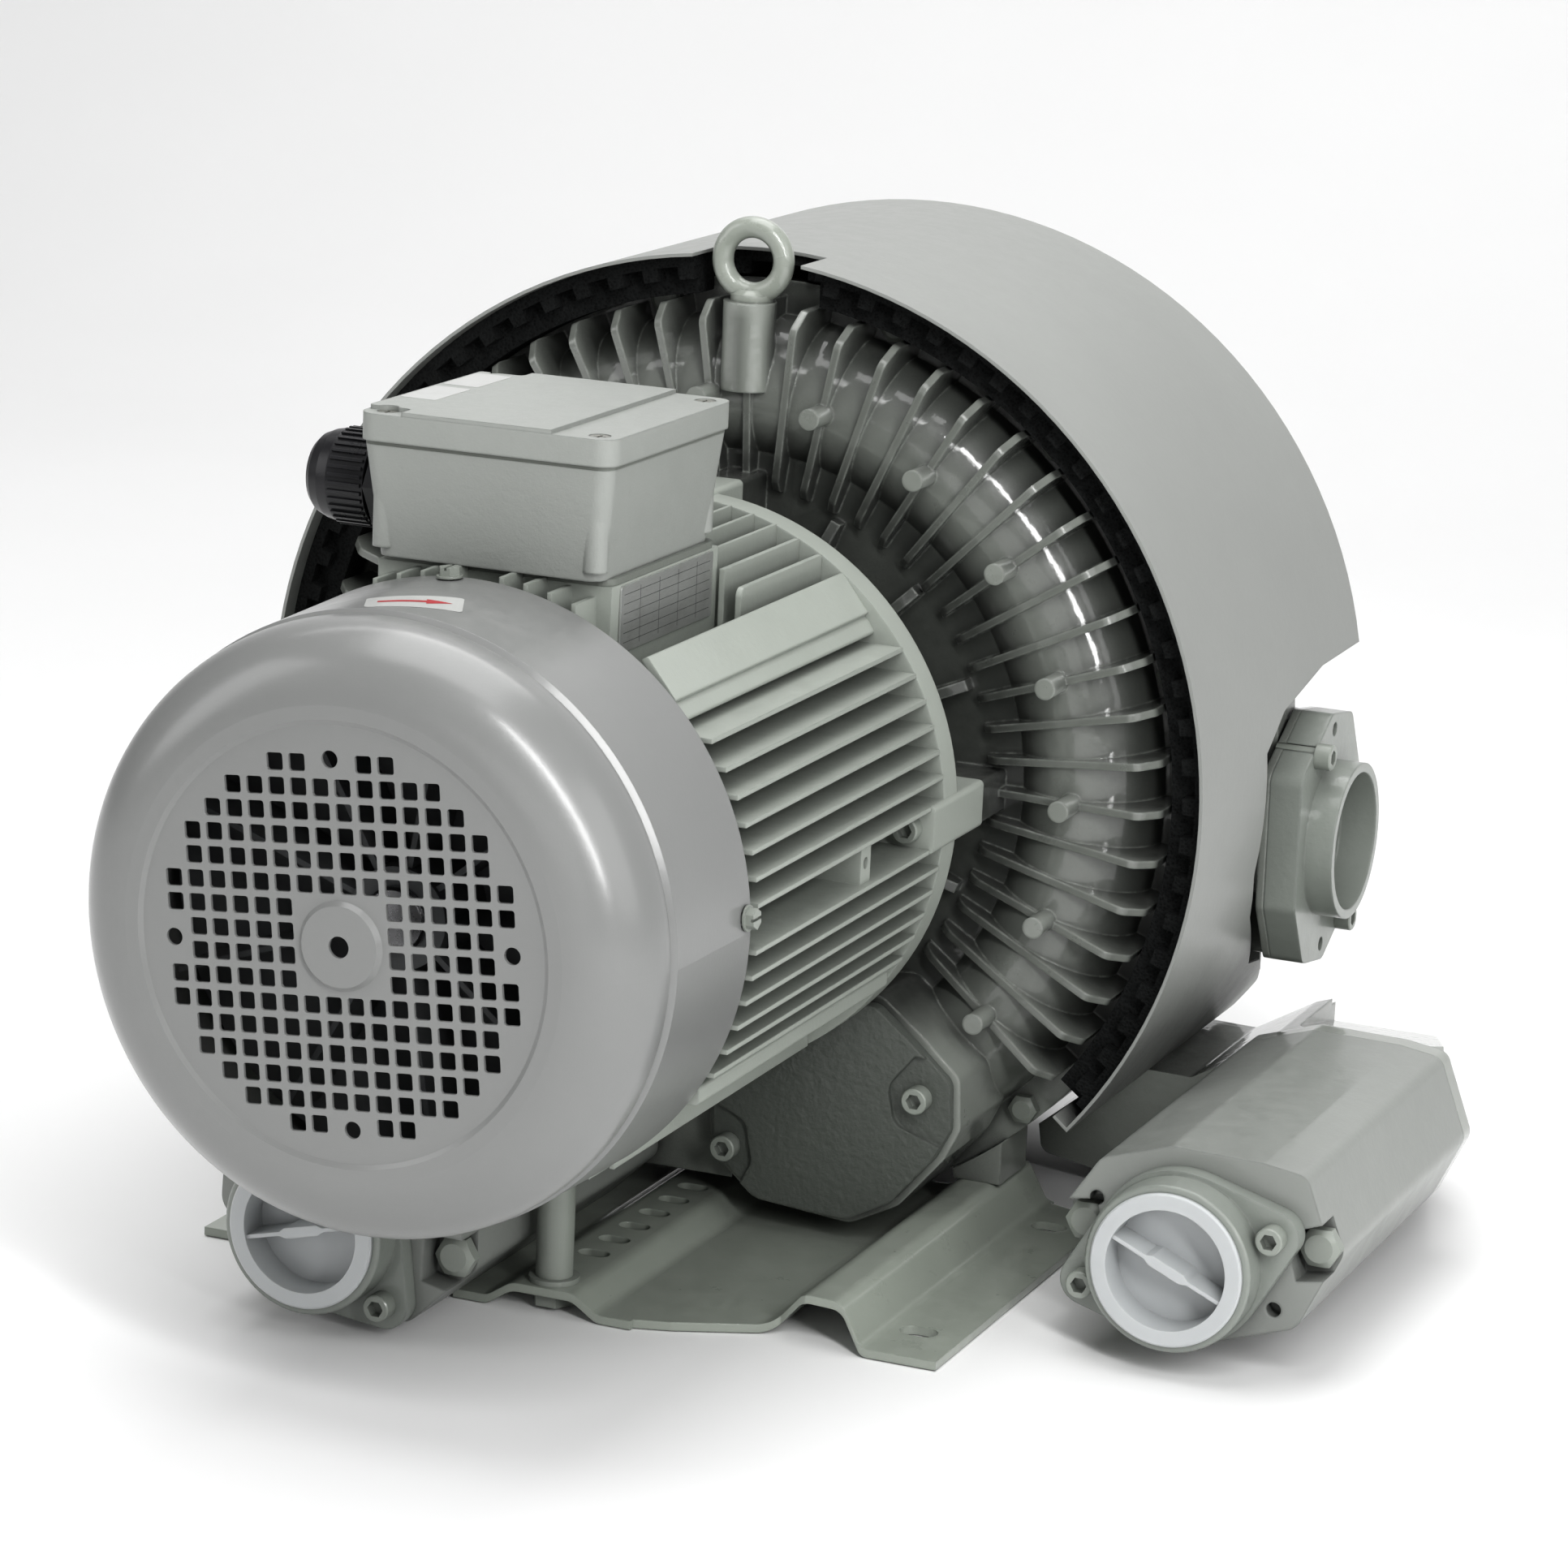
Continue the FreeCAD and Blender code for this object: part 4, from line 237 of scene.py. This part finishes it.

# the paint is one grey with a slight green cast; castings are glossier than sheets. The greys of the casting, motor,
# port, box, sheet, cowl, base and silencer paints below are each lightened or darkened to stand in for the light that
# part gets: painted light and shade
G = (143, 147, 141)
# blower casing: strong painted shade deep inside, in the recess round the motor and on the channel wall between the
# fins
cast = paint("paint_casting", G, rough=0.30, coat=1.0, coat_r=0.045, grain=0.4, peel=0.8, round_r=0.0016, wear_and_edge_highlight=0.85, corner_shade=0.75, deep_shade=0.97, fine=700.0, recess_shade=(0.142, 0.170, 0.93), peel_scale=190.0, channel_floor_shade=0.55)
cast_motor = paint("paint_motor_casting", (163, 168, 161), rough=0.40, coat=0.25, coat_r=0.16, grain=0.7, peel=0.7, round_r=0.0010, wear_and_edge_highlight=0.45, corner_shade=0.42, deep_shade=0.22, fine=800.0)
cast_port = paint("paint_port_casting", (138, 143, 137), rough=0.34, coat=0.55, coat_r=0.10, grain=0.6, peel=1.0, round_r=0.0016, wear_and_edge_highlight=0.45, corner_shade=0.5, deep_shade=0.25, fine=700.0)
cast_rough = paint("paint_box_casting", (152, 155, 151), rough=0.42, coat=0.12, coat_r=0.2, grain=0.9, peel=0.9, round_r=0.0014, wear_and_edge_highlight=0.35, fine=950.0)
sheet = paint("paint_sheet", (144, 146, 143), rough=0.40, coat=0.12, coat_r=0.14, grain=0.2, peel=0.45, round_r=0.0006, wear_and_edge_highlight=0.45, corner_shade=0.45, deep_shade=0.8, fine=1200.0, speck=0.05, mot=0.4)
cowl = paint("paint_cowl", (128, 129, 128), rough=0.32, coat=0.55, coat_r=0.19, grain=0.25, peel=0.25, round_r=0.0005, wear_and_edge_highlight=0.18, corner_shade=0.30, deep_shade=0.6, fine=1300.0, speck=0.04, mot=0.3)
base_m = paint("paint_base_sheet", (157, 163, 154), rough=0.30, coat=0.60, coat_r=0.09, grain=0.35, peel=0.45, round_r=0.0010, wear_and_edge_highlight=0.6, dust=0.8, corner_shade=0.45, deep_shade=0.15, fine=800.0)
silencer = paint("paint_silencer", (139, 142, 138), rough=0.38, coat=0.35, coat_r=0.12, grain=0.3, peel=0.6, round_r=0.0020, wear_and_edge_highlight=0.35, deep_shade=0.5, fine=1000.0)
dark_cover = paint("paint_blind_cover", (86, 90, 85), rough=0.42, coat=0.40, coat_r=0.16, grain=2.4, peel=2.4, round_r=0.0014, wear_and_edge_highlight=0.6, fine=420.0)
bolt_paint = paint("paint_on_fasteners", (144, 149, 142), rough=0.34, coat=0.35, coat_r=0.1, grain=0.4, peel=0.5, round_r=0.0005, wear_and_edge_highlight=0.9, corner_shade=0.8, fine=1500.0)
eye_paint = paint("paint_lifting_eye", (150, 155, 147), rough=0.28, coat=0.8, coat_r=0.05, grain=0.4, peel=1.5, round_r=0.0014, wear_and_edge_highlight=0.35, fine=700.0)
gasket_m = paint("paint_over_gasket", (118, 122, 116), rough=0.55, coat=0.0, grain=1.2, peel=0.8, round_r=0.0004, wear_and_edge_highlight=0.2, corner_shade=0.5, fine=1200.0)

black = plastic("black_nylon", (30, 30, 33), rough=0.30, grain=0.5)
rubber = plastic("black_rubber", (18, 18, 19), rough=0.68, grain=0.9, fine=900.0)
white = plastic("white_polyethylene", (205, 208, 209), rough=0.34, grain=0.35, fine=700.0, sss=0.25, trans=0.18, spread=0.05, round_r=0.0006)
fanp = plastic("fan_plastic", (104, 106, 107), rough=0.42, grain=0.5)
term = plastic("terminal_moulding", (92, 48, 28), rough=0.5, grain=0.5)

def foam(name, rgb):
    M = Mat(name)
    base = lin(*rgb)
    c1 = M.voronoi(700.0)
    c2 = M.noise(45.0, 5.0, 0.7)
    col = M.mix(M.rng(c1, 0.1, 0.6, 0.0, 1.0), tuple(c * 0.35 for c in base[:3]) + (1.0,), base)
    col = M.mix(M.rng(c2, 0.4, 0.7, 0.0, 0.5), col, tuple(c * 1.8 for c in base[:3]) + (1.0,))
    M.l(col, M.b.inputs["Base Color"])
    M.l(M.rng(c2, 0.3, 0.7, 0.88, 1.0), M.b.inputs["Roughness"])
    M.l(M.bump(M.noise(170.0, 5.0, 0.7), 0.5, 0.0012, M.bump(c1, 0.8, 0.0008)), M.b.inputs["Normal"])
    M.b.inputs["Specular IOR Level"].default_value = 0.15
    return M.m
foam_m = foam("acoustic_foam", (30, 31, 31))
felt = foam("absorber_felt", (170, 164, 150))

zinc = steel("zinc_plated_steel", (178, 178, 172), rough=0.32)
shaft = steel("turned_steel", (168, 168, 170), rough=0.25, brush=(1, 30, 1), scale=90.0)
lam = steel("lamination_stack", (96, 96, 100), rough=0.45, brush=(1, 60, 1), scale=60.0, stain=0.5)
bearing = steel("bearing_steel", (200, 200, 204), rough=0.14, brush=(1, 20, 1), scale=60.0, stain=0.05)
alu = steel("cast_aluminium", (176, 177, 176), rough=0.42, scale=240.0, stain=0.25, round_r=0.0008)

def copper():
    M = Mat("enamelled_copper")
    w = M.n("ShaderNodeTexWave", wave_type="BANDS", bands_direction="DIAGONAL")
    w.inputs["Scale"].default_value = 420.0
    w.inputs["Distortion"].default_value = 2.5
    M.l(M.vec, w.inputs["Vector"])
    col = M.mix(w.outputs["Fac"], lin(96, 44, 22), lin(186, 96, 52))
    col = M.mix(M.rng(M.noise(40.0), 0.45, 0.7, 0.0, 0.5), col, lin(70, 34, 20))
    M.l(col, M.b.inputs["Base Color"])
    M.l(M.rng(M.noise(80.0), 0.3, 0.7, 0.25, 0.45), M.b.inputs["Roughness"])
    M.l(M.bump(w.outputs["Fac"], 0.6, 0.0006), M.b.inputs["Normal"])
    M.set(Metallic=0.6, Coat_Weight=0.5)
    return M.m
cu = copper()

def plate():
    """Bare rating plate: brushed aluminium with thin printed rules, no lettering."""
    M = Mat("blank_plate")
    mp = M.n("ShaderNodeMapping"); mp.inputs["Scale"].default_value = (1, 1, 40)
    M.l(M.vec, mp.inputs["Vector"])
    ln = M.noise(220.0, 4.0, 0.7, vec=mp.outputs["Vector"])
    col = M.mix(M.rng(ln, 0.3, 0.7, 0.0, 1.0), lin(176, 178, 176), lin(205, 206, 204))
    s = M.n("ShaderNodeSeparateXYZ"); M.l(M.vec, s.inputs[0])
    rows = M.math("ABSOLUTE", M.math("SUBTRACT", M.math("FRACT", M.math("DIVIDE", M.math("SUBTRACT", s.outputs["Z"], PLATE[2]), 0.0041)), 0.5))
    cols = M.math("ABSOLUTE", M.math("SUBTRACT", M.math("FRACT", M.math("DIVIDE", M.math("SUBTRACT", s.outputs["Y"], PLATE[0]), 0.0193)), 0.5))
    rule = M.math("MAXIMUM", M.rng(rows, 0.45, 0.475, 0.0, 1.0), M.rng(cols, 0.485, 0.492, 0.0, 1.0))
    inside = M.math("MULTIPLY", M.math("MULTIPLY", M.math("GREATER_THAN", s.outputs["Y"], PLATE[0] + 0.003), M.math("LESS_THAN", s.outputs["Y"], PLATE[1] - 0.003)),
                    M.math("MULTIPLY", M.math("GREATER_THAN", s.outputs["Z"], PLATE[2] + 0.002), M.math("LESS_THAN", s.outputs["Z"], PLATE[3] - 0.002)))
    rule = M.math("MULTIPLY", M.math("MULTIPLY", rule, inside), M.rng(M.noise(500.0, 3.0), 0.3, 0.7, 0.6, 0.9))
    col = M.mix(rule, col, lin(44, 46, 48))
    col = M.mix(M.rng(M.noise(60.0, 5.0), 0.5, 0.75, 0.0, 0.25), col, lin(120, 120, 114))
    M.l(col, M.b.inputs["Base Color"])
    M.l(M.math("ADD", M.rng(ln, 0.3, 0.7, 0.30, 0.44), M.math("MULTIPLY", rule, 0.2), True), M.b.inputs["Roughness"])
    M.l(M.bump(ln, 0.1, 0.0001, M.bevel(0.0003, 4)), M.b.inputs["Normal"])
    M.set(Metallic=0.75)
    return M.m
lo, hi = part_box("blank_rating_plate")
PLATE = (float(lo[1]), float(hi[1]), float(lo[2]), float(hi[2]))
plate_m = plate()

look = {
    "base_plate": base_m, "support_rod": bolt_paint, "support_rod_washer": bolt_paint, "support_rod_nut": bolt_paint,
    "foot_brackets": cast, "foot_bracket_bolts": bolt_paint,
    "fan_cowl": cowl, "fan_cowl_screws": bolt_paint, "cooling_fan": fanp, "fan_end_shield": cast_motor,
    "motor_frame": cast_motor, "motor_drive_flange": cast_motor, "motor_flange_screws": bolt_paint,
    "stator_core": lam, "stator_winding": cu, "rotor_core": lam, "rotor_shaft": shaft,
    "fan_bearing_outer_race": bearing, "fan_bearing_inner_race_and_balls": bearing, "drive_bearing_outer_race": bearing, "drive_bearing_inner_race_and_balls": bearing,
    "impeller_keys": shaft, "shaft_seal": rubber, "terminal_box_gasket": gasket_m, "terminal_box_body": cast_rough, "terminal_box_lid_gasket": gasket_m,
    "terminal_box_lid": cast_rough, "terminal_box_lid_screws": zinc, "terminal_board_and_links": term, "blank_rating_plate": plate_m,
    "cable_gland_body": black, "cable_gland_seal": rubber, "cable_gland_nut": black,
    "front_casing": cast, "centre_casing": cast, "rear_casing": cast, "stage_one_impeller": alu, "stage_two_impeller": alu,
    "impeller_spacers": shaft, "impeller_end_washer": zinc, "impeller_nut": zinc, "casing_tie_bolts_and_nuts": bolt_paint,
    "blind_port_cover": dark_cover, "blind_port_cover_screws": bolt_paint, "lifting_eye": eye_paint,
    "noise_hood": sheet, "hood_foam_lining": foam_m, "hood_rear_panel": sheet, "hood_panel_screws": zinc,
    "side_port_flange": cast_port, "side_port_flange_screws": bolt_paint,
    "inlet_silencer_body": silencer, "outlet_silencer_body": silencer, "silencer_port_flanges": cast_port, "silencer_flange_screws": bolt_paint,
    "silencer_long_bolts": bolt_paint, "silencer_absorber_tubes": felt, "inlet_transport_plug": white, "outlet_transport_plug": white, "outlet_duct": cast,
}
for n, o in NODES.items():
    m = look[n]
    if not o.material_slots:
        o.data.materials.append(m)
    for s in o.material_slots:
        s.material = m

# ------------------------------------------------------------------ labels, all without lettering
def vinyl(name, rgb, rough=0.4):
    M = Mat(name)
    base = lin(*rgb)
    f = M.noise(300.0, 4.0, 0.6)
    col = M.mix(M.rng(f, 0.3, 0.7, 0.0, 1.0), tuple(c * 0.93 for c in base[:3]) + (1.0,), base)
    col = M.mix(M.rng(M.noise(70.0, 4.0), 0.5, 0.75, 0.0, 0.2), col, tuple(c * 0.7 for c in base[:3]) + (1.0,))
    M.l(col, M.b.inputs["Base Color"])
    M.l(M.rng(f, 0.3, 0.7, rough - 0.05, rough + 0.08), M.b.inputs["Roughness"])
    M.l(M.bump(M.noise(220.0, 3.0), 0.12, 0.0002), M.b.inputs["Normal"])
    M.set(Coat_Weight=0.3, Coat_Roughness=0.15)
    return M.m
label_m = vinyl("label_pale_vinyl", (186, 187, 185))
arrow_m = vinyl("arrow_red_ink", (176, 44, 52))

def film(name, pts, thick, mat, place_at, step=1.0):
    """A thin film: a flat outline in millimetres, cut into strips, laid on a surface by place_at(u, v, height)."""
    bm = bmesh.new()
    vs = [bm.verts.new((x, y, 0)) for x, y in pts]
    bm.faces.new(vs)
    lo = min(p[0] for p in pts); hi = max(p[0] for p in pts)
    x = lo + step
    while x < hi - 1e-6:
        bmesh.ops.bisect_plane(bm, geom=bm.verts[:] + bm.edges[:] + bm.faces[:], plane_co=(x, 0, 0), plane_no=(1, 0, 0))
        x += step
    top = bm.faces[:]
    r = bmesh.ops.extrude_face_region(bm, geom=top)
    for v in [e for e in r["geom"] if isinstance(e, bmesh.types.BMVert)]:
        v.co.z = thick
    bmesh.ops.recalc_face_normals(bm, faces=bm.faces[:])
    for v in bm.verts:
        v.co = place_at(v.co.x, v.co.y, v.co.z)
    bmesh.ops.recalc_face_normals(bm, faces=bm.faces[:])
    me = bpy.data.meshes.new(name); bm.to_mesh(me); bm.free()
    me.materials.append(mat)
    o = bpy.data.objects.new(name, me)
    bpy.context.scene.collection.objects.link(o)
    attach(o, "housing")
    return o

def rounded(w, h, r, n=5):
    out = []
    for cx, cy, a0 in ((w / 2 - r, h / 2 - r, 0), (-w / 2 + r, h / 2 - r, 90), (-w / 2 + r, -h / 2 + r, 180), (w / 2 - r, -h / 2 + r, 270)):
        for k in range(n + 1):
            a = math.radians(a0 + 90.0 * k / n)
            out.append((cx + r * math.cos(a), cy + r * math.sin(a)))
    return out

# rotation arrow on the top of the cowl, stuck on a little askew
def on_cowl(lift):
    def f(u, v, t):
        c, s_ = math.cos(math.radians(24)), math.sin(math.radians(24))
        x, y = u * c - v * s_, u * s_ + v * c
        yy = 58.0 + y
        r = 131.2 + 1.6 * (yy - 39.0) / 69.0 + lift + t
        a = math.pi / 2 - x / 132.0
        return W(r * math.cos(a), yy, r * math.sin(a))
    return f
film("rotation_label", rounded(40, 20, 2.0), 0.12, label_m, on_cowl(0.04))
film("rotation_arrow", [(-15, -1.4), (5, -1.4), (5, -3.6), (15.5, 0), (5, 3.6), (5, 1.4), (-15, 1.4)], 0.05, arrow_m, on_cowl(0.18))
# two bare labels on the left of the lid
for i, y in enumerate((169.0, 209.0)):
    film("lid_label_%d" % (i + 1), rounded(17.0, 34.0, 1.5), 0.12, label_m, lambda u, v, t, y=y: W(-48.6 + u, y + v, 197.02 + t), step=20.0)

# ------------------------------------------------------------------ stage, light and camera
def stage():
    bm = bmesh.new()
    w, f, back, hgt, r = 6.0, -4.0, 3.4, 5.0, 1.6
    prof = [(f, 0.0)] + [(back - r + r * math.sin(a), r - r * math.cos(a)) for a in [math.pi / 2 * k / 24 for k in range(25)]] + [(back, hgt)]
    rows = [[bm.verts.new((x, y, z - 0.0006)) for x in (-w, w)] for y, z in prof]
    for a, b in zip(rows, rows[1:]):
        bm.faces.new((a[0], a[1], b[1], b[0]))
    me = bpy.data.meshes.new("sweep"); bm.to_mesh(me); bm.free()
    for p in me.polygons:
        p.use_smooth = True
    o = bpy.data.objects.new("studio_sweep", me)
    bpy.context.scene.collection.objects.link(o)
    M = Mat("studio_white")
    col = M.mix(M.rng(M.noise(1.3, 3.0), 0.3, 0.7, 0.0, 1.0), (0.86, 0.86, 0.86, 1), (0.89, 0.89, 0.89, 1))
    M.l(col, M.b.inputs["Base Color"])
    M.set(Roughness=0.9)
    M.b.inputs["Specular IOR Level"].default_value = 0.1
    me.materials.append(M.m)
stage()

def area(name, loc, target, size, size_y, power, roll=0.0, col=(1, 1, 1)):
    li = bpy.data.lights.new(name, "AREA"); li.shape = "RECTANGLE"; li.size = size; li.size_y = size_y
    li.energy = power; li.color = col
    o = bpy.data.objects.new(name, li); bpy.context.scene.collection.objects.link(o)
    o.location = loc
    turn = (Vector(target) - Vector(loc)).to_track_quat("-Z", "Y").to_matrix() @ Matrix.Rotation(math.radians(roll), 3, "Z")
    o.rotation_euler = turn.to_euler()
    return o
C = (0.0, 0.0, 0.22)
area("top_softbox", (-0.1, 0.0, 2.3), C, 2.2, 1.5, 28)
area("right_softbox", (2.2, -0.5, 1.15), C, 1.3, 1.7, 10)
area("left_softbox", (-2.1, -1.5, 1.3), C, 1.0, 1.8, 11)
area("front_fill", (0.5, -3.2, 0.70), C, 2.2, 1.1, 6)
area("crown_strip", (1.35, -1.6, 1.45), (0.05, 0.05, 0.25), 2.1, 0.24, 36, roll=120.0)
area("backdrop_light", (-1.0, 1.6, 3.4), (-1.3, 3.4, 1.2), 4.0, 1.2, 46)
world = bpy.data.worlds.new("studio"); bpy.context.scene.world = world
world.use_nodes = True
bg = world.node_tree.nodes["Background"]
bg.inputs[0].default_value = (1, 1, 1, 1); bg.inputs[1].default_value = 0.19

cam_d = bpy.data.cameras.new("photo_camera"); cam_d.sensor_width = 36.0; cam_d.sensor_fit = "HORIZONTAL"
cam_d.lens = 6374.09 / 1932 * 36.0
cam_d.clip_start, cam_d.clip_end = 0.1, 50
cam_o = bpy.data.objects.new("photo_camera", cam_d); bpy.context.scene.collection.objects.link(cam_o)
rv = Vector((1.77457274, 0.39389577, -0.24964539))
R = Matrix.Rotation(rv.length, 3, rv.normalized())          # world to camera, x right, y down, z ahead
B = R.transposed() @ Matrix(((1, 0, 0), (0, -1, 0), (0, 0, -1)))
cam_o.matrix_world = Matrix.Translation((0.93097, -2.11596, 0.78278)) @ B.to_4x4()
bpy.context.scene.camera = cam_o
bpy.context.scene.view_settings.view_transform = "Standard"
bpy.context.scene.view_settings.look = "Medium High Contrast"
